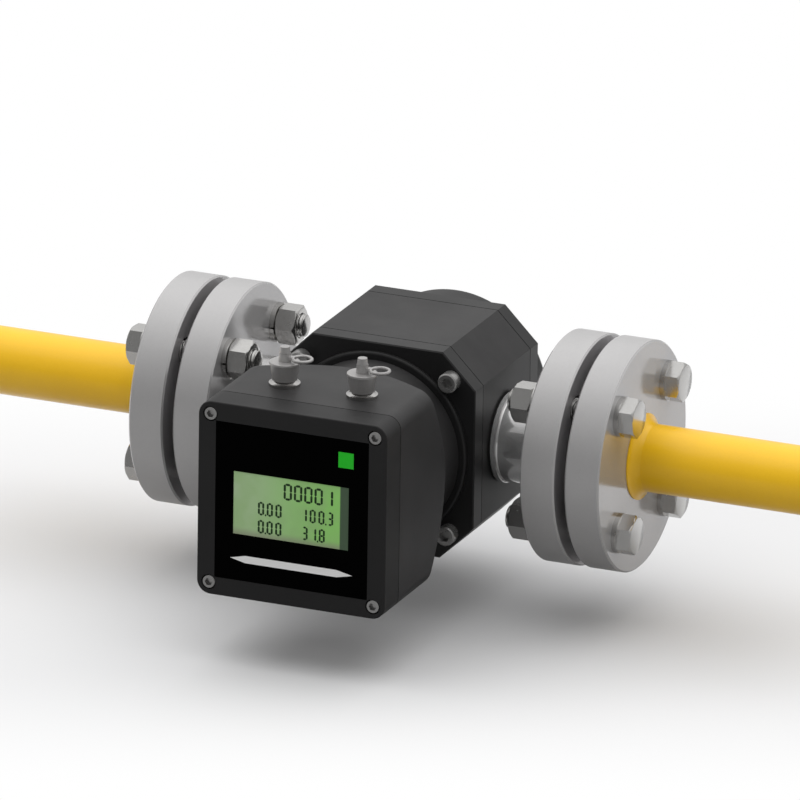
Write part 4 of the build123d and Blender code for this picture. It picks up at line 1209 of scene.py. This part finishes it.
@dataclass
class Studio:
    """Pale floor, white surroundings, soft lamps and the camera."""

    scene: bpy.types.Scene
    target: Point = (0.230908, 0.0, 0.01026)
    azimuth: float = 22.415
    elevation: float = 19.072
    roll: float = 0.871
    distance: float = 8.986
    focal_px: float = 18300.0
    image_px: float = 800.0
    sensor: float = 36.0
    floor_z: float = -0.085
    floor_w: float = 6.0
    floor_tone: Colour = (0.68, 0.68, 0.685)
    floor_bounce: Colour = (0.4, 0.4, 0.4)
    floor_mirrored: Colour = (0.32, 0.32, 0.32)
    mirrored_edge: float = 0.15
    haze: float = 0.06
    fade_start: float = 0.12
    fade_end: float = 0.3
    sky_range: Span = (-0.2, 0.9)
    front_range: Span = (-1.0, 0.3)
    soft_sky: Span = (0.5, 0.8)
    soft_front: Span = (0.6, 1.0)
    gloss_sky: Span = (0.5, 1.1)
    gloss_front: Span = (0.2, 1.0)
    lamps: tuple[SoftLamp, ...] = (
        SoftLamp("overhead_lamp", (0.15, 0.1, 1.6), width=3.2, power=36.0),
        SoftLamp("front_lamp", (-0.9, -1.8, 0.9), width=1.0, power=2.0),
    )

    def build(self) -> None:
        """Set up everything that isn't part of the object."""
        self.scene.view_settings.view_transform = "Standard"
        self.add_world()
        self.add_floor()
        for lamp in self.lamps:
            self.add_lamp(lamp)
        self.add_camera()

    def add_camera(self) -> None:
        """Place the camera where the photograph was taken from."""
        turn, rise, lean = (math.radians(a) for a in (self.azimuth, self.elevation, self.roll))
        level = math.cos(rise)
        back = Vector((math.sin(turn) * level, -math.cos(turn) * level, math.sin(rise)))
        right = Vector((math.cos(turn), math.sin(turn), 0.0))
        up = back.cross(right)
        right, up = (
            right * math.cos(lean) + up * math.sin(lean),
            up * math.cos(lean) - right * math.sin(lean),
        )
        data = bpy.data.cameras.new("camera")
        data.sensor_width = self.sensor
        data.lens = self.focal_px / self.image_px * self.sensor
        data.clip_start, data.clip_end = 0.1, 60.0
        camera = bpy.data.objects.new("camera", data)
        place = Matrix.Translation(Vector(self.target) + back * self.distance)
        camera.matrix_world = place @ Matrix((right, up, back)).transposed().to_4x4()
        self.scene.collection.objects.link(camera)
        self.scene.camera = camera

    def add_world(self) -> None:
        """Add surroundings that are white to the eye, and softer for light and for gloss."""
        world = bpy.data.worlds.new("studio_air")
        sheet = NodeSheet.of(world)
        ray = sheet.add("LightPath").outputs
        seen = sheet.math("MAXIMUM", ray["Is Camera Ray"], ray["Is Transmission Ray"])
        heading = sheet.split(sheet.add("TexCoord").outputs["Generated"])
        levels = []
        for up, ahead in ((self.soft_sky, self.soft_front), (self.gloss_sky, self.gloss_front)):
            sky = sheet.span(heading["Z"], *self.sky_range, *up)
            front = sheet.span(heading["Y"], *self.front_range, *ahead)
            levels.append(sheet.times(sky, front))
        unseen = sheet.blend(ray["Is Glossy Ray"], *levels)
        strength = sheet.blend(seen, unseen, 1.0)
        air = sheet.fill(sheet.add("Background"), Color=WHITE, Strength=strength)
        sheet.fill(sheet.add("OutputWorld"), Surface=air.outputs[0])
        self.scene.world = world

    def add_floor(self) -> None:
        """Lay the pale floor, which fades into the white surroundings away from the object."""
        half = self.floor_w / 2
        shape = bmesh.new()
        middle_x, middle_y, _ = self.target
        edge = [(-half, -half), (half, -half), (half, half), (-half, half)]
        points = [(middle_x + x, middle_y + y, self.floor_z) for x, y in edge]
        shape.faces.new([shape.verts.new(point) for point in points])
        mesh = finish_mesh("floor", shape)
        floor = bpy.data.objects.new("floor", mesh)
        self.scene.collection.objects.link(floor)
        mesh.materials.append(self.floor_material())

    def floor_material(self) -> bpy.types.Material:
        """Return the floor's material.

        Returns:
            Pale and matte near the object, plain white to the eye before and behind it.
        """
        material = bpy.data.materials.new("pale_floor")
        sheet = NodeSheet.of(material)
        turn = math.radians(self.azimuth)
        depth = sheet.add("VectorMath", operation="DOT_PRODUCT")
        sheet.feed(depth.inputs[0], sheet.add("TexCoord").outputs["Object"])
        depth.inputs[1].default_value = (math.sin(turn), -math.cos(turn), 0.0)
        middle = self.target[0] * math.sin(turn) - self.target[1] * math.cos(turn)
        before = sheet.math("SUBTRACT", depth.outputs["Value"], middle)
        ray = sheet.add("LightPath").outputs
        front = sheet.span(before, -self.mirrored_edge, self.mirrored_edge)
        mirrored = sheet.times(front, ray["Is Glossy Ray"])
        tone = sheet.mix(mirrored, self.floor_tone, self.floor_mirrored)
        tone = sheet.mix(ray["Is Diffuse Ray"], tone, self.floor_bounce)
        matte = sheet.fill(sheet.add("BsdfDiffuse"), Color=tone)
        plain = sheet.fill(sheet.add("Emission"), Color=WHITE)
        away = sheet.math("ABSOLUTE", before)
        far = sheet.span(away, self.fade_start, self.fade_end, self.haze, 1.0)
        blend = sheet.add("MixShader")
        share = sheet.times(far, ray["Is Camera Ray"])
        for socket, value in zip(blend.inputs, (share, matte.outputs[0], plain.outputs[0])):
            sheet.feed(socket, value)
        sheet.fill(sheet.add("OutputMaterial"), Surface=blend.outputs[0])
        return material

    def add_lamp(self, soft: SoftLamp) -> None:
        """Hang one lamp, which mirrors don't show.

        Args:
            soft: The lamp.
        """
        data = bpy.data.lights.new(soft.name, "AREA")
        data.shape = "DISK"
        data.size = soft.width
        data.energy = soft.power
        lamp = bpy.data.objects.new(soft.name, data)
        lamp.location = soft.place
        toward = Vector(soft.aim) - Vector(soft.place)
        lamp.rotation_euler = toward.to_track_quat("-Z", "Y").to_euler()
        lamp.visible_glossy = False
        self.scene.collection.objects.link(lamp)


def main() -> None:
    """Load the frame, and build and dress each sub-assembly."""
    logging.basicConfig(level=logging.INFO, format="%(message)s")
    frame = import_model()
    for kind in (PipeRun, MeterBody, RotorTrain, Totalizer, CableSockets):
        assembly = kind(frame)
        assembly.dress()
        assembly.build()
        LOG.info("%s done", kind.__name__)
    Studio(bpy.context.scene).build()


if __name__ == "__main__":
    main()
